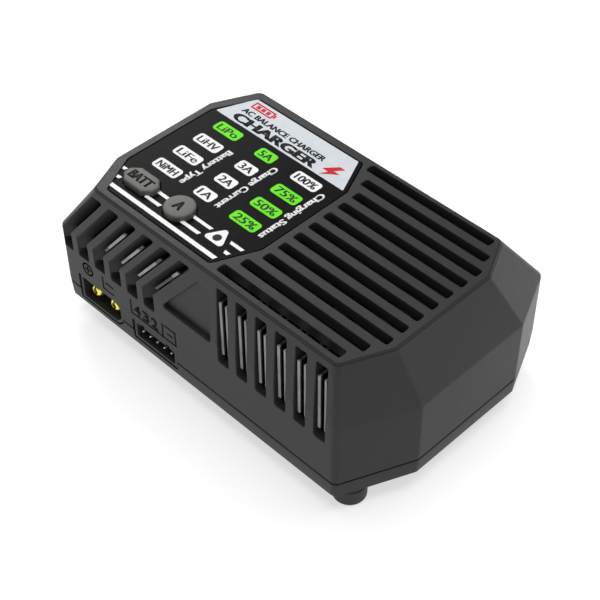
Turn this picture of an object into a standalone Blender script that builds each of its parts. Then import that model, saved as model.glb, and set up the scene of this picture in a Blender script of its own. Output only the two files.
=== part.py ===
"""Balance battery charger: a two-shell plastic case with an octagonal top, built as an assembly.

The case is lofted through rounded eight-sided outlines: a narrow base, a wide break line and a smaller top.
The front wall stands almost upright and the other walls slope in above the break line. X runs along the
length with the air grille at +X, -Y is the side with the battery sockets, and Z is up from the feet.
"""

import math
from collections import namedtuple

import bmesh
import bpy
from mathutils import Matrix, Vector

MM = 0.001
GAP = 0.3 * MM  # between pieces that touch
PAST = 1 * MM  # how far a cutter or a joined piece runs past a surface
FAR = 20 * MM  # how far a cutter runs when nothing stands behind what it cuts
TINY = 0.01 * MM
ROUND_STEPS = 24
FINE_STEPS = 36

# Levels
FOOT_HEIGHT = 5.3 * MM
PARTING_Z = 10.1 * MM
BREAK_Z = 27.8 * MM
TOP_Z = 47.1 * MM
WALL = 2.0 * MM
CORNER_RADIUS = 1.6 * MM
ARC_STEPS = 4
TOP_EDGE = 0.5 * MM
BASE_EDGE = 0.5 * MM
CAVITY_BREAK_DROP = 0.8 * MM
SLOPE_WALL = 2.5 * MM  # measured level, so that the sloping walls keep their thickness

# Outlines: sides, then the cut corners as (along X, along Y)
Outline = namedtuple("Outline", "left right front rear front_left rear_left rear_right front_right")
TOP_OUTLINE = Outline(
    -38.1 * MM, 46.5 * MM, -32.4 * MM, 18.1 * MM,
    (4.6 * MM, 10.6 * MM), (5.4 * MM, 11.3 * MM), (5.2 * MM, 10.3 * MM), (5.2 * MM, 11.6 * MM),
)
BREAK_OUTLINE = Outline(
    -50.2 * MM, 50.2 * MM, -33.4 * MM, 33.4 * MM,
    (1.8 * MM, 15.4 * MM), (7.2 * MM, 15.8 * MM), (7.2 * MM, 15.8 * MM), (8.0 * MM, 18.0 * MM),
)
BASE_INSET = 0.25 * MM  # the lower shell tapers in by this much
TRAY_INSET = 3.0 * MM

# Label field with its buttons and indicators
LABEL_OUTLINE = Outline(
    -36.2 * MM, 7.4 * MM, -30.6 * MM, 16.0 * MM,
    (4.4 * MM, 9.6 * MM), (5.2 * MM, 10.4 * MM), (4.2 * MM, 9.6 * MM), (4.8 * MM, 10.4 * MM),
)
LABEL_CORNER = 0.6 * MM
LABEL_RECESS = 0.8 * MM
LABEL_DROP = 0.1 * MM  # of the film below the top face
LABEL_HOLE_DEPTH = 6.0 * MM
LABEL_THICKNESS = 0.4 * MM
COLUMN_X = [-27.3 * MM, -14.6 * MM, -1.8 * MM]
PILL_Y = [2.45 * MM - 6.2 * MM * row for row in range(4)]
PILL_SIZE = (7.0 * MM, 3.4 * MM)
BUTTON_Y = -23.7 * MM
BUTTON_RISE = 1.3 * MM
BUTTON_TRAVEL = 0.4 * MM
BATT_SIZE = (9.8 * MM, 5.6 * MM)
BATT_CUT = (2.0 * MM, 1.76 * MM)
AMP_RADIUS = 3.7 * MM
KEY_RIM = 0.3 * MM
KEY_FLANGE = (0.7 * MM, 0.8 * MM)  # reach past the cap, thickness
KEY_STEM_RADIUS = 1.6 * MM
GUIDE_MARGIN = (0.8 * MM, 0.5 * MM)
GUIDE_THICKNESS = 1.2 * MM

# Grille slots over the fan
SLOT_COUNT = 11
SLOT_PITCH = 4.55 * MM
SLOT_WIDTH = 2.3 * MM
SLOT_LEFT = 9.1 * MM
SLOT_RIGHT = 44.7 * MM
SLOT_REAR_Y = 15.9 * MM
SLOT_DEPTH = 5.0 * MM
SLOT_CORNER_STEPS = {0: -4.2 * MM, 1: -1.7 * MM, 9: -2.0 * MM, 10: -4.3 * MM}

# Openings in the front wall
VENT_COUNT = 6
VENT_PITCH = 5.86 * MM
VENT_LEFT = 6.6 * MM
VENT_WIDTH = 3.3 * MM
VENT_BOTTOM = 22.0 * MM
VENT_TOP = 44.1 * MM
VENT_DEPTH = 4.0 * MM
GILL_LEFT = -47.7 * MM
GILL_WIDTH = 3.6 * MM
GILL_BEND_Z = 27.6 * MM
GILL_LEAN = 0.80  # sideways run for each unit of rise above the bend
GILL_RIB_DEPTH = 4.5 * MM
GILL_DEPTH = 6.0 * MM
GILL_RIB_LEFT = -46.0 * MM
GILL_RIB_RIGHT = -13.2 * MM
GILL_RIB_BOTTOM = 20.8 * MM
GILL_RIB_TOP = 44.6 * MM
PANEL_LEFT = -11.8 * MM
PANEL_RIGHT = 4.2 * MM
PANEL_TOP = 41.8 * MM
PANEL_BOTTOM = 26.3 * MM
PANEL_DEPTH = 0.7 * MM

# Battery sockets
XT_X = -35.5 * MM
XT_Z = 11.1 * MM
XT_SIZE = (15.4 * MM, 7.6 * MM)
XT_DEPTH = 15.0 * MM
XT_CORNER_SHARE = 0.25  # of the height, cut from each right corner
XT_CAVITY = (13.8 * MM, 6.0 * MM, 10.0 * MM)
XT_PIN_SPACING = 7.0 * MM
XT_PIN_RADIUS = 1.75 * MM
XT_PIN_TIP = ((0.8 * MM, 0.7), (1.3 * MM, 1.0))  # depth behind the face, share of the radius
XT_PIN_TAIL = 2.5 * MM
XT_SPLIT = (0.5 * MM, 5.0 * MM, 7.0 * MM)
XT_BORE_START = 5.0 * MM
PORT_FACE = 0.3 * MM  # each socket's face stands this far behind the wall's
BALANCE_X = -16.0 * MM
BALANCE_Z = 10.6 * MM
BALANCE_SIZE = (15.0 * MM, 5.8 * MM)
BALANCE_DEPTH = 9.8 * MM
BALANCE_CAVITY = (12.9 * MM, 4.4 * MM, 7.0 * MM)
BALANCE_PITCH = 2.5 * MM
BALANCE_PINS = 5
BALANCE_PIN_SIDE = 0.64 * MM
BALANCE_PIN_TIP = ((0.4 * MM, 0.5), (0.9 * MM, 1.0))
BALANCE_PIN_TAIL = 2.0 * MM
BALANCE_BORE_START = 5.0 * MM

# Mains inlet in the rear wall
INLET_X = -14.0 * MM
INLET_Z = 19.8 * MM
INLET_SIZE = (20.0 * MM, 11.6 * MM)
INLET_DEPTH = 16.0 * MM
INLET_CAVITY = (16.2 * MM, 8.4 * MM, 10.0 * MM)
INLET_PIN_SPACING = 8.6 * MM
INLET_PIN_RADIUS = 1.2 * MM
INLET_PIN_TIP = ((1.4 * MM, 0.5), (2.2 * MM, 1.0))
INLET_PIN_TAIL = 2.5 * MM
INLET_BORE_START = 5.0 * MM
INLET_OPENING_DEPTH = 6.0 * MM

# Boards and what stands on them
BOARD_Z = 11.9 * MM
BOARD_THICKNESS = 1.6 * MM
BOARD_SIZE = (84.0 * MM, 50.0 * MM)
UI_BOARD_Z = 37.7 * MM
UI_BOARD_SIZE = (38.0 * MM, 29.4 * MM)
UI_BOARD_CENTRE = (-14.6 * MM, -12.2 * MM)
STANDOFF_RADIUS = 2.4 * MM
STANDOFF_PLACES = [
    (-38.0 * MM, 21.0 * MM),
    (38.0 * MM, 21.0 * MM),
    (38.0 * MM, -7.0 * MM),
    (0.0 * MM, -23.0 * MM),
]
SOCKET_BAY_MARGIN = 4.0 * MM
SWITCH_SIZE = (6.0 * MM, 6.0 * MM, 3.0 * MM)
PLUNGER_RADIUS = 1.7 * MM
PLUNGER_RISE = 0.6 * MM
SINK_TOP = 40.3 * MM
SINK_FIN_BOTTOM = 24.3 * MM
SINK_PLATE = 1.6 * MM
FIN_SETBACK = 0.9 * MM
FIN_LEADS = [(0.5 * MM, 0.7 * MM), (2.4 * MM, 0.5 * MM)]  # for each fin of a pair: place in the vent, width
OUTPUT_PLATE_SETBACK = 9.0 * MM
INPUT_PLATE_SETBACK = 4.8 * MM
INPUT_PLATE_THICKNESS = 1.2 * MM
INPUT_PLATE_X = (-30.0 * MM, -1.0 * MM)
INPUT_PLATE_Z = (28.8 * MM, 40.5 * MM)
INPUT_FIN_WIDTH = 0.8 * MM
INPUT_FIN_INSET = 0.5 * MM  # of a fin from its gill's right side
CORE_X = (-40.0 * MM, -22.0 * MM)
CORE_Y = (-4.0 * MM, 14.0 * MM)
CORE_HEIGHT = 14.0 * MM
WINDING_RADIUS = 7.0 * MM
WINDING_HEIGHT = 3.7 * MM
ROUND_PARTS = [  # name, centre, radius, height, look
    ("bulk_capacitor", (6.0 * MM, 14.0 * MM), 6.3 * MM, 16.0 * MM, "sleeve"),
    ("output_capacitor", (22.0 * MM, 14.0 * MM), 5.0 * MM, 12.0 * MM, "sleeve"),
    ("mains_fuse", (-34.0 * MM, 20.0 * MM), 2.6 * MM, 8.0 * MM, "tape"),
]
CHOKE_CENTRE = (2.0 * MM, -8.0 * MM)
CHOKE_RING = 5.6 * MM
CHOKE_WIRE = 2.6 * MM
CHOKE_STEPS = (28, 12)

# Fan
FAN_CENTRE = (27.2 * MM, -7.0 * MM)
FAN_SIDE = 30.0 * MM
FAN_DEPTH = 10.0 * MM
FAN_TOP = 43.9 * MM
FAN_BORE = 14.0 * MM
HUB_RADIUS = 6.5 * MM
FAN_CORNER = 2.5 * MM
FAN_BASE = 1.6 * MM
HUB_EDGE = 0.5 * MM
HUB_SPAN = (2.0 * MM, 9.3 * MM)  # above the frame's underside
BLADE_COUNT = 7
BLADE_SPAN = 0.72  # radians round the hub
BLADE_SWEEP = 0.25  # radians from root to tip
BLADE_THICKNESS = 0.9 * MM
BLADE_RADII = (5.9 * MM, 11.5 * MM, 13.2 * MM)
BLADE_RISE = (2.6 * MM, 8.2 * MM)
SPOKE_COUNT = 4
SPOKE_WIDTH = 1.8 * MM
SPOKE_THICKNESS = 1.5 * MM
SPOKE_TURN = 35  # degrees
SPOKE_RADII = (5.0 * MM, 14.5 * MM)

# Feet and case screws
FOOT_RADIUS = 4.0 * MM
FOOT_ROUND = 0.7 * MM
FOOT_SEAT = 0.8 * MM
FOOT_PLACES = [
    (-38.0 * MM, -24.0 * MM),
    (40.4 * MM, -26.5 * MM),
    (39.8 * MM, 25.0 * MM),
    (-39.8 * MM, 25.0 * MM),
]
SCREW_PLACES = [
    (-45.4 * MM, -12.0 * MM),
    (45.4 * MM, -11.0 * MM),
    (45.4 * MM, 13.0 * MM),
    (-45.4 * MM, 13.0 * MM),
]
SCREW_RADIUS = 1.3 * MM
SCREW_HEAD_RADIUS = 2.5 * MM
SCREW_HEAD_HEIGHT = 1.7 * MM
SCREW_HEAD_RISE = 0.3 * MM  # of the head above the base
SCREW_HEAD_EDGE = 0.5 * MM
SCREW_REACH = 8.0 * MM  # above the parting line
SCREW_POINT = 1.0 * MM
SCREW_BORE_SLACK = 0.1 * MM
SCREW_DRIVE = (2.8 * MM, 0.7 * MM, 0.8 * MM)
BOSS_RADIUS = 3.0 * MM
BOSS_TOP = 30.3 * MM
PAD_RADIUS = 3.8 * MM
LIP_THICKNESS = 1.2 * MM
LIP_RISE = 1.8 * MM  # above the parting line
JOINT_CLEARANCE = 3.0 * MM  # how far the lower shell's cutters run above the parting line


# ---------------------------------------------------------------- materials

def material(name, colour, roughness, metallic=0.0):
    made = bpy.data.materials.new(name)
    made.use_nodes = True
    shader = made.node_tree.nodes["Principled BSDF"]
    shader.inputs["Base Color"].default_value = (*colour, 1.0)
    shader.inputs["Roughness"].default_value = roughness
    shader.inputs["Metallic"].default_value = metallic
    made.diffuse_color = (*colour, 1.0)
    return made


def make_materials():
    return {
        "case": material("case_plastic", (0.045, 0.046, 0.050), 0.55),
        "label": material("label_film", (0.012, 0.012, 0.013), 0.35),
        "button": material("button_plastic", (0.22, 0.22, 0.20), 0.5),
        "guide": material("light_guide", (0.75, 0.78, 0.75), 0.25),
        "board": material("circuit_board", (0.02, 0.12, 0.05), 0.45),
        "black": material("black_plastic", (0.02, 0.02, 0.02), 0.45),
        "gold": material("gold_plate", (0.85, 0.62, 0.12), 0.25, 1.0),
        "steel": material("bright_steel", (0.62, 0.63, 0.64), 0.3, 1.0),
        "aluminium": material("aluminium", (0.70, 0.71, 0.72), 0.35, 1.0),
        "copper": material("copper_wire", (0.55, 0.22, 0.08), 0.35, 1.0),
        "tape": material("winding_tape", (0.60, 0.45, 0.05), 0.5),
        "sleeve": material("capacitor_sleeve", (0.03, 0.05, 0.12), 0.4),
        "rubber": material("foot_rubber", (0.02, 0.02, 0.02), 0.8),
    }


# ---------------------------------------------------------------- shapes

def corners_of(outline):
    """The eight corners, anticlockwise from the front edge's left end."""
    fl, rl, rr, fr = outline.front_left, outline.rear_left, outline.rear_right, outline.front_right
    return [
        Vector((outline.left + fl[0], outline.front)),
        Vector((outline.right - fr[0], outline.front)),
        Vector((outline.right, outline.front + fr[1])),
        Vector((outline.right, outline.rear - rr[1])),
        Vector((outline.right - rr[0], outline.rear)),
        Vector((outline.left + rl[0], outline.rear)),
        Vector((outline.left, outline.rear - rl[1])),
        Vector((outline.left, outline.front + fl[1])),
    ]


def inset(corners, distance):
    """The anticlockwise convex outline with each edge moved in by distance."""
    moved = []
    count = len(corners)
    for i, corner in enumerate(corners):
        before = (corner - corners[i - 1]).normalized()
        after = (corners[(i + 1) % count] - corner).normalized()
        normal = Vector((-before.y, before.x))
        turn = before.angle_signed(after)
        along = math.tan(abs(turn) / 2)
        moved.append(corner + distance * (normal - before * along))
    return moved


def blend(first, second, share):
    return [a.lerp(b, share) for a, b in zip(first, second)]


def rounded(corners, radius, steps=ARC_STEPS):
    """The convex outline with each corner as an arc."""
    points = []
    count = len(corners)
    for i, corner in enumerate(corners):
        before = (corner - corners[i - 1]).normalized()
        after = (corners[(i + 1) % count] - corner).normalized()
        turn = math.acos(max(-1.0, min(1.0, before.dot(after))))
        start = corner - before * radius * math.tan(turn / 2)
        centre = start + Vector((-before.y, before.x)) * radius
        for step in range(steps + 1):
            angle = turn * step / steps
            arm = Vector((before.y, -before.x)) * radius
            points.append(centre + Matrix.Rotation(angle, 2) @ arm)
    return points


def circle(radius, steps=32, centre=(0, 0)):
    angles = [math.tau * i / steps for i in range(steps)]
    return [Vector((centre[0] + radius * math.cos(a), centre[1] + radius * math.sin(a))) for a in angles]


def rectangle(size_x, size_y, centre=(0, 0)):
    x, y = size_x / 2, size_y / 2
    return [Vector((centre[0] + a, centre[1] + b)) for a, b in ((-x, -y), (x, -y), (x, y), (-x, y))]


def stadium(size_x, size_y, centre=(0, 0)):
    return rounded(rectangle(size_x, size_y, centre), min(size_x, size_y) / 2 - TINY, 6)


def loft(mesh, rings):
    """Adds a closed solid through rings of 3-D points; each ring is anticlockwise from above."""
    rows = [[mesh.verts.new(point) for point in ring] for ring in rings]
    count = len(rows[0])
    mesh.faces.new(reversed(rows[0]))
    mesh.faces.new(rows[-1])
    for low, high in zip(rows, rows[1:]):
        for i in range(count):
            mesh.faces.new((low[i], low[(i + 1) % count], high[(i + 1) % count], high[i]))


def prism(mesh, outline, low, high):
    loft(mesh, [[Vector((p.x, p.y, z)) for p in outline] for z in (low, high)])


def front_loft(mesh, sections):
    """Adds a solid through sections along Y, each an outline drawn in X and Z and its Y."""
    loft(mesh, [[Vector((p.x, y, p.y)) for p in outline] for outline, y in sections])


def front_prism(mesh, outline, near, far):
    """Adds a solid whose outline is drawn in X and Z and that runs along Y from near to far."""
    front_loft(mesh, [(outline, far), (outline, near)])


def box(mesh, low, high):
    centre = ((low[0] + high[0]) / 2, (low[1] + high[1]) / 2)
    prism(mesh, rectangle(high[0] - low[0], high[1] - low[1], centre), low[2], high[2])


def node(name, build, look=None, origin=(0, 0, 0)):
    """An object called name whose mesh build(mesh) makes in world coordinates."""
    mesh = bmesh.new()
    build(mesh)
    bmesh.ops.recalc_face_normals(mesh, faces=mesh.faces)
    bmesh.ops.translate(mesh, verts=mesh.verts, vec=-Vector(origin))
    data = bpy.data.meshes.new(name)
    mesh.to_mesh(data)
    mesh.free()
    made = bpy.data.objects.new(name, data)
    made.location = origin
    bpy.context.scene.collection.objects.link(made)
    if look:
        data.materials.append(look)
        data.shade_smooth()
        data.set_sharp_from_angle(angle=math.radians(30))
    return made


def combine(target, operation, name, build):
    """Cuts or joins a hidden helper shape."""
    helper = node(name, build)
    helper.hide_render = True
    helper.display_type = "WIRE"
    modifier = target.modifiers.new(name, "BOOLEAN")
    modifier.operation = operation
    modifier.object = helper
    modifier.solver = "EXACT"


# ---------------------------------------------------------------- case

def case_corners(z):
    """The case's outer outline at a height above the parting line."""
    wide = corners_of(BREAK_OUTLINE)
    share = max(0.0, (z - BREAK_Z) / (TOP_Z - BREAK_Z))
    return blend(wide, corners_of(TOP_OUTLINE), share)


def at_height(corners, z, radius=CORNER_RADIUS):
    return [Vector((p.x, p.y, z)) for p in rounded(corners, radius)]


def top_shell_body(mesh):
    loft(mesh, [
        at_height(case_corners(BREAK_Z), PARTING_Z + GAP / 2),
        at_height(case_corners(BREAK_Z), BREAK_Z),
        at_height(case_corners(TOP_Z - TOP_EDGE), TOP_Z - TOP_EDGE),
        at_height(inset(case_corners(TOP_Z), TOP_EDGE), TOP_Z),
    ])


def top_shell_cavity(mesh):
    ceiling = TOP_Z - WALL - LABEL_RECESS
    loft(mesh, [
        at_height(inset(case_corners(BREAK_Z), WALL), PARTING_Z - PAST),
        at_height(inset(case_corners(BREAK_Z), WALL), BREAK_Z - CAVITY_BREAK_DROP),
        at_height(inset(case_corners(ceiling), SLOPE_WALL), ceiling),
    ])


def slot_outlines():
    for row in range(SLOT_COUNT):
        shift = SLOT_CORNER_STEPS.get(row, 0.0)
        centre = ((SLOT_LEFT + SLOT_RIGHT) / 2 + shift, SLOT_REAR_Y - row * SLOT_PITCH)
        yield stadium(SLOT_RIGHT - SLOT_LEFT, SLOT_WIDTH, centre)


def grille_slots(mesh):
    for outline in slot_outlines():
        prism(mesh, outline, TOP_Z - SLOT_DEPTH, TOP_Z + PAST)


def gill_outline(left, right, low, high):
    """Upright below the bend, leaning above it."""
    lean = GILL_LEAN * (high - GILL_BEND_Z)
    return [
        Vector((left, low)),
        Vector((right, low)),
        Vector((right, GILL_BEND_Z)),
        Vector((right + lean, high)),
        Vector((left + lean, high)),
        Vector((left, GILL_BEND_Z)),
    ]


def gill_ribs(mesh):
    """The thick field behind the wall that the gill slots cut into deep ribs."""
    front = BREAK_OUTLINE.front
    outline = gill_outline(GILL_RIB_LEFT, GILL_RIB_RIGHT, GILL_RIB_BOTTOM, GILL_RIB_TOP)
    front_prism(mesh, outline, front + WALL - PAST, front + GILL_RIB_DEPTH)


def wall_openings(mesh):
    """The upright vents and the bent gill slots, cut through the front wall."""
    front = BREAK_OUTLINE.front
    for i in range(VENT_COUNT):
        left = VENT_LEFT + i * VENT_PITCH
        centre = (left + VENT_WIDTH / 2, (VENT_TOP + VENT_BOTTOM) / 2)
        outline = rectangle(VENT_WIDTH, VENT_TOP - VENT_BOTTOM, centre)
        front_prism(mesh, outline, front - PAST, front + VENT_DEPTH)
    for i in range(VENT_COUNT):
        left = GILL_LEFT + i * VENT_PITCH
        outline = gill_outline(left, left + GILL_WIDTH, VENT_BOTTOM, VENT_TOP)
        front_prism(mesh, outline, front - PAST, front + GILL_DEPTH)


def panel_recess(mesh):
    """The shallow panel between the gills and the vents."""
    rise = PANEL_TOP - PANEL_BOTTOM
    outline = [
        Vector((PANEL_LEFT, PANEL_BOTTOM)),
        Vector((PANEL_RIGHT, PANEL_BOTTOM)),
        Vector((PANEL_RIGHT, PANEL_TOP)),
        Vector((PANEL_LEFT + GILL_LEAN * rise, PANEL_TOP)),
    ]
    front_prism(mesh, outline, BREAK_OUTLINE.front - PAST, BREAK_OUTLINE.front + PANEL_DEPTH)


def label_recess(mesh):
    outline = rounded(corners_of(LABEL_OUTLINE), LABEL_CORNER)
    prism(mesh, outline, TOP_Z - LABEL_RECESS, TOP_Z + PAST)


def batt_outline(grow=0.0):
    x, y = COLUMN_X[0], BUTTON_Y
    size_x, size_y = BATT_SIZE[0] / 2, BATT_SIZE[1] / 2
    shape = Outline(x - size_x, x + size_x, y - size_y, y + size_y, *[BATT_CUT] * 4)
    return inset(corners_of(shape), -grow)


def amp_outline(grow=0.0):
    return circle(AMP_RADIUS + grow, FINE_STEPS, (COLUMN_X[1], BUTTON_Y))


def top_shell_holes(mesh):
    """Button holes and indicator windows in the label floor."""
    low, high = TOP_Z - LABEL_HOLE_DEPTH, TOP_Z - LABEL_RECESS + PAST
    prism(mesh, batt_outline(GAP), low, high)
    prism(mesh, amp_outline(GAP), low, high)
    for x in COLUMN_X:
        for y in PILL_Y:
            prism(mesh, stadium(*PILL_SIZE, (x, y)), low, high)


def screw_bosses(mesh):
    for x, y in SCREW_PLACES:
        prism(mesh, circle(BOSS_RADIUS, ROUND_STEPS, (x, y)), PARTING_Z + GAP, BOSS_TOP)


def screw_bores(mesh):
    for x, y in SCREW_PLACES:
        outline = circle(SCREW_RADIUS + SCREW_BORE_SLACK, ROUND_STEPS, (x, y))
        prism(mesh, outline, PARTING_Z - PAST, PARTING_Z + SCREW_REACH + PAST)


def port_openings(mesh):
    """The cut-outs for the two battery sockets; both run down into the lower shell."""
    front = BREAK_OUTLINE.front
    discharge = xt_outline((XT_SIZE[0] + 2 * GAP, XT_SIZE[1] + 2 * GAP))
    balance = rectangle(BALANCE_SIZE[0] + 2 * GAP, BALANCE_SIZE[1] + 2 * GAP, (BALANCE_X, BALANCE_Z))
    for outline, depth in ((discharge, XT_DEPTH), (balance, BALANCE_DEPTH)):
        front_prism(mesh, outline, front - PAST, front + depth + 2 * GAP)


def inlet_opening(mesh):
    rear = BREAK_OUTLINE.rear
    outline = rectangle(INLET_SIZE[0] + 2 * GAP, INLET_SIZE[1] + 2 * GAP, (INLET_X, INLET_Z))
    front_prism(mesh, outline, rear - INLET_OPENING_DEPTH, rear + PAST)


def make_top_shell(looks):
    shell = node("top_shell", top_shell_body, looks["case"])
    combine(shell, "DIFFERENCE", "cut_cavity", top_shell_cavity)
    combine(shell, "UNION", "join_screw_bosses", screw_bosses)
    combine(shell, "DIFFERENCE", "cut_screw_bores", screw_bores)
    combine(shell, "DIFFERENCE", "cut_label_recess", label_recess)
    combine(shell, "UNION", "join_gill_ribs", gill_ribs)
    combine(shell, "DIFFERENCE", "cut_grille", grille_slots)
    combine(shell, "DIFFERENCE", "cut_wall_openings", wall_openings)
    combine(shell, "DIFFERENCE", "cut_panel", panel_recess)
    combine(shell, "DIFFERENCE", "cut_label_holes", top_shell_holes)
    combine(shell, "DIFFERENCE", "cut_ports_above", port_openings)
    combine(shell, "DIFFERENCE", "cut_inlet", inlet_opening)


def bottom_shell_body(mesh):
    loft(mesh, [
        at_height(inset(case_corners(BREAK_Z), BASE_INSET + BASE_EDGE), FOOT_HEIGHT),
        at_height(inset(case_corners(BREAK_Z), BASE_INSET), FOOT_HEIGHT + BASE_EDGE),
        at_height(case_corners(BREAK_Z), PARTING_Z - GAP / 2),
    ])


def bottom_shell_cavity(mesh):
    outline = inset(case_corners(BREAK_Z), TRAY_INSET)
    loft(mesh, [at_height(outline, FOOT_HEIGHT + WALL), at_height(outline, PARTING_Z + JOINT_CLEARANCE)])


def bottom_lip(mesh):
    """A ring inside the joint that the upper shell drops over."""
    outer = at_height(inset(case_corners(BREAK_Z), WALL + GAP), 0)
    inner = at_height(inset(case_corners(BREAK_Z), WALL + GAP + LIP_THICKNESS), 0)
    low, high = FOOT_HEIGHT + PAST, PARTING_Z + LIP_RISE
    rows = [[mesh.verts.new((p.x, p.y, z)) for p in ring] for ring in (outer, inner) for z in (low, high)]
    outer_low, outer_high, inner_low, inner_high = rows
    count = len(outer)
    for i in range(count):
        j = (i + 1) % count
        mesh.faces.new((outer_low[i], outer_low[j], outer_high[j], outer_high[i]))
        mesh.faces.new((inner_low[j], inner_low[i], inner_high[i], inner_high[j]))
        mesh.faces.new((outer_high[i], outer_high[j], inner_high[j], inner_high[i]))
        mesh.faces.new((outer_low[j], outer_low[i], inner_low[i], inner_low[j]))


def standoffs(mesh):
    for place in STANDOFF_PLACES:
        prism(mesh, circle(STANDOFF_RADIUS, ROUND_STEPS, place), FOOT_HEIGHT + PAST, BOARD_Z - GAP)


def bottom_shell_holes(mesh):
    """Counterbored screw holes and the seats of the feet."""
    for x, y in SCREW_PLACES:
        prism(mesh, circle(SCREW_RADIUS + GAP, ROUND_STEPS, (x, y)), 0, PARTING_Z + JOINT_CLEARANCE)
    for x, y in FOOT_PLACES:
        prism(mesh, circle(FOOT_RADIUS + GAP, FINE_STEPS, (x, y)), 0, FOOT_HEIGHT + FOOT_SEAT)


def screw_recesses(mesh):
    for x, y in SCREW_PLACES:
        top = FOOT_HEIGHT + SCREW_HEAD_RISE + SCREW_HEAD_HEIGHT + GAP
        prism(mesh, circle(SCREW_HEAD_RADIUS + GAP, ROUND_STEPS, (x, y)), 0, top)


def screw_pads(mesh):
    for x, y in SCREW_PLACES:
        prism(mesh, circle(PAD_RADIUS, ROUND_STEPS, (x, y)), FOOT_HEIGHT + PAST, PARTING_Z - GAP / 2)


def make_bottom_shell(looks):
    shell = node("bottom_shell", bottom_shell_body, looks["case"])
    combine(shell, "DIFFERENCE", "cut_tray", bottom_shell_cavity)
    combine(shell, "UNION", "join_lip", bottom_lip)
    combine(shell, "UNION", "join_standoffs", standoffs)
    combine(shell, "UNION", "join_screw_pads", screw_pads)
    combine(shell, "DIFFERENCE", "cut_seats", bottom_shell_holes)
    combine(shell, "DIFFERENCE", "cut_screw_recesses", screw_recesses)
    combine(shell, "DIFFERENCE", "cut_boss_clearance", boss_clearance)
    combine(shell, "DIFFERENCE", "cut_ports_below", port_openings)


def boss_clearance(mesh):
    for x, y in SCREW_PLACES:
        outline = circle(BOSS_RADIUS + GAP, ROUND_STEPS, (x, y))
        prism(mesh, outline, PARTING_Z, PARTING_Z + JOINT_CLEARANCE)


def make_feet(looks):
    for number, (x, y) in enumerate(FOOT_PLACES, 1):
        def foot(mesh, x=x, y=y):
            seat = FOOT_HEIGHT + FOOT_SEAT - GAP
            rings = []
            for angle in (0, 30, 60, 90):
                rise = FOOT_ROUND * (1 - math.cos(math.radians(angle)))
                narrowing = FOOT_ROUND * (1 - math.sin(math.radians(angle)))
                rings.append((rise, FOOT_RADIUS - narrowing))
            rings.append((seat, FOOT_RADIUS))
            loft(mesh, [[Vector((p.x, p.y, z)) for p in circle(r, FINE_STEPS, (x, y))] for z, r in rings])
        node(f"foot_{number}", foot, looks["rubber"], (x, y, 0))


def make_case_screws(looks):
    low = FOOT_HEIGHT + SCREW_HEAD_RISE
    seat = low + SCREW_HEAD_HEIGHT
    tip = PARTING_Z + SCREW_REACH
    profile = [
        (low, SCREW_HEAD_RADIUS - SCREW_HEAD_EDGE), (low + SCREW_HEAD_EDGE, SCREW_HEAD_RADIUS),
        (seat, SCREW_HEAD_RADIUS), (seat + TINY, SCREW_RADIUS),
        (tip - SCREW_POINT, SCREW_RADIUS), (tip, SCREW_RADIUS / 2),
    ]
    for number, (x, y) in enumerate(SCREW_PLACES, 1):
        def screw(mesh, x=x, y=y):
            loft(mesh, [
                [Vector((p.x, p.y, z)) for p in circle(r, ROUND_STEPS, (x, y))] for z, r in profile])

        def drive(mesh, x=x, y=y):
            length, width, depth = SCREW_DRIVE
            prism(mesh, rectangle(length, width, (x, y)), 0, low + depth)
        made = node(f"case_screw_{number}", screw, looks["steel"], (x, y, 0))
        combine(made, "DIFFERENCE", f"cut_drive_{number}", drive)


# ---------------------------------------------------------------- label and controls

def make_label(looks):
    top = TOP_Z - LABEL_DROP
    outline = rounded(inset(corners_of(LABEL_OUTLINE), GAP), LABEL_CORNER)
    label = node(
        "label_plate", lambda mesh: prism(mesh, outline, top - LABEL_THICKNESS, top), looks["label"])

    def holes(mesh):
        for outline in (batt_outline(GAP), amp_outline(GAP)):
            prism(mesh, outline, TOP_Z - PAST, TOP_Z + PAST)
    combine(label, "DIFFERENCE", "cut_button_holes", holes)


def make_buttons(looks):
    top = TOP_Z + BUTTON_RISE
    flange = TOP_Z - LABEL_RECESS - WALL - GAP
    foot = UI_BOARD_Z + BOARD_THICKNESS + GAP + SWITCH_SIZE[2] + GAP
    keys = (("batt_button", batt_outline, COLUMN_X[0]), ("amp_button", amp_outline, COLUMN_X[1]))
    for name, outline, x in keys:
        def cap(mesh, outline=outline, x=x):
            shape = outline()
            centre = Vector((x, BUTTON_Y))
            smaller = [centre + (p - centre) * (1 - 2 * KEY_RIM / BATT_SIZE[1]) for p in shape]
            rings = [(flange, shape), (top - KEY_RIM, shape), (top, smaller)]
            loft(mesh, [[Vector((p.x, p.y, z)) for p in ring] for z, ring in rings])
        button = node(name, cap, looks["button"], (x, BUTTON_Y, top))
        combine(button, "UNION", f"join_{name}_flange", lambda mesh, outline=outline: prism(
            mesh, outline(KEY_FLANGE[0]), flange - KEY_FLANGE[1], flange + TINY))
        combine(button, "UNION", f"join_{name}_stem", lambda mesh, x=x: prism(
            mesh, circle(KEY_STEM_RADIUS, ROUND_STEPS, (x, BUTTON_Y)), foot, flange))


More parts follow.
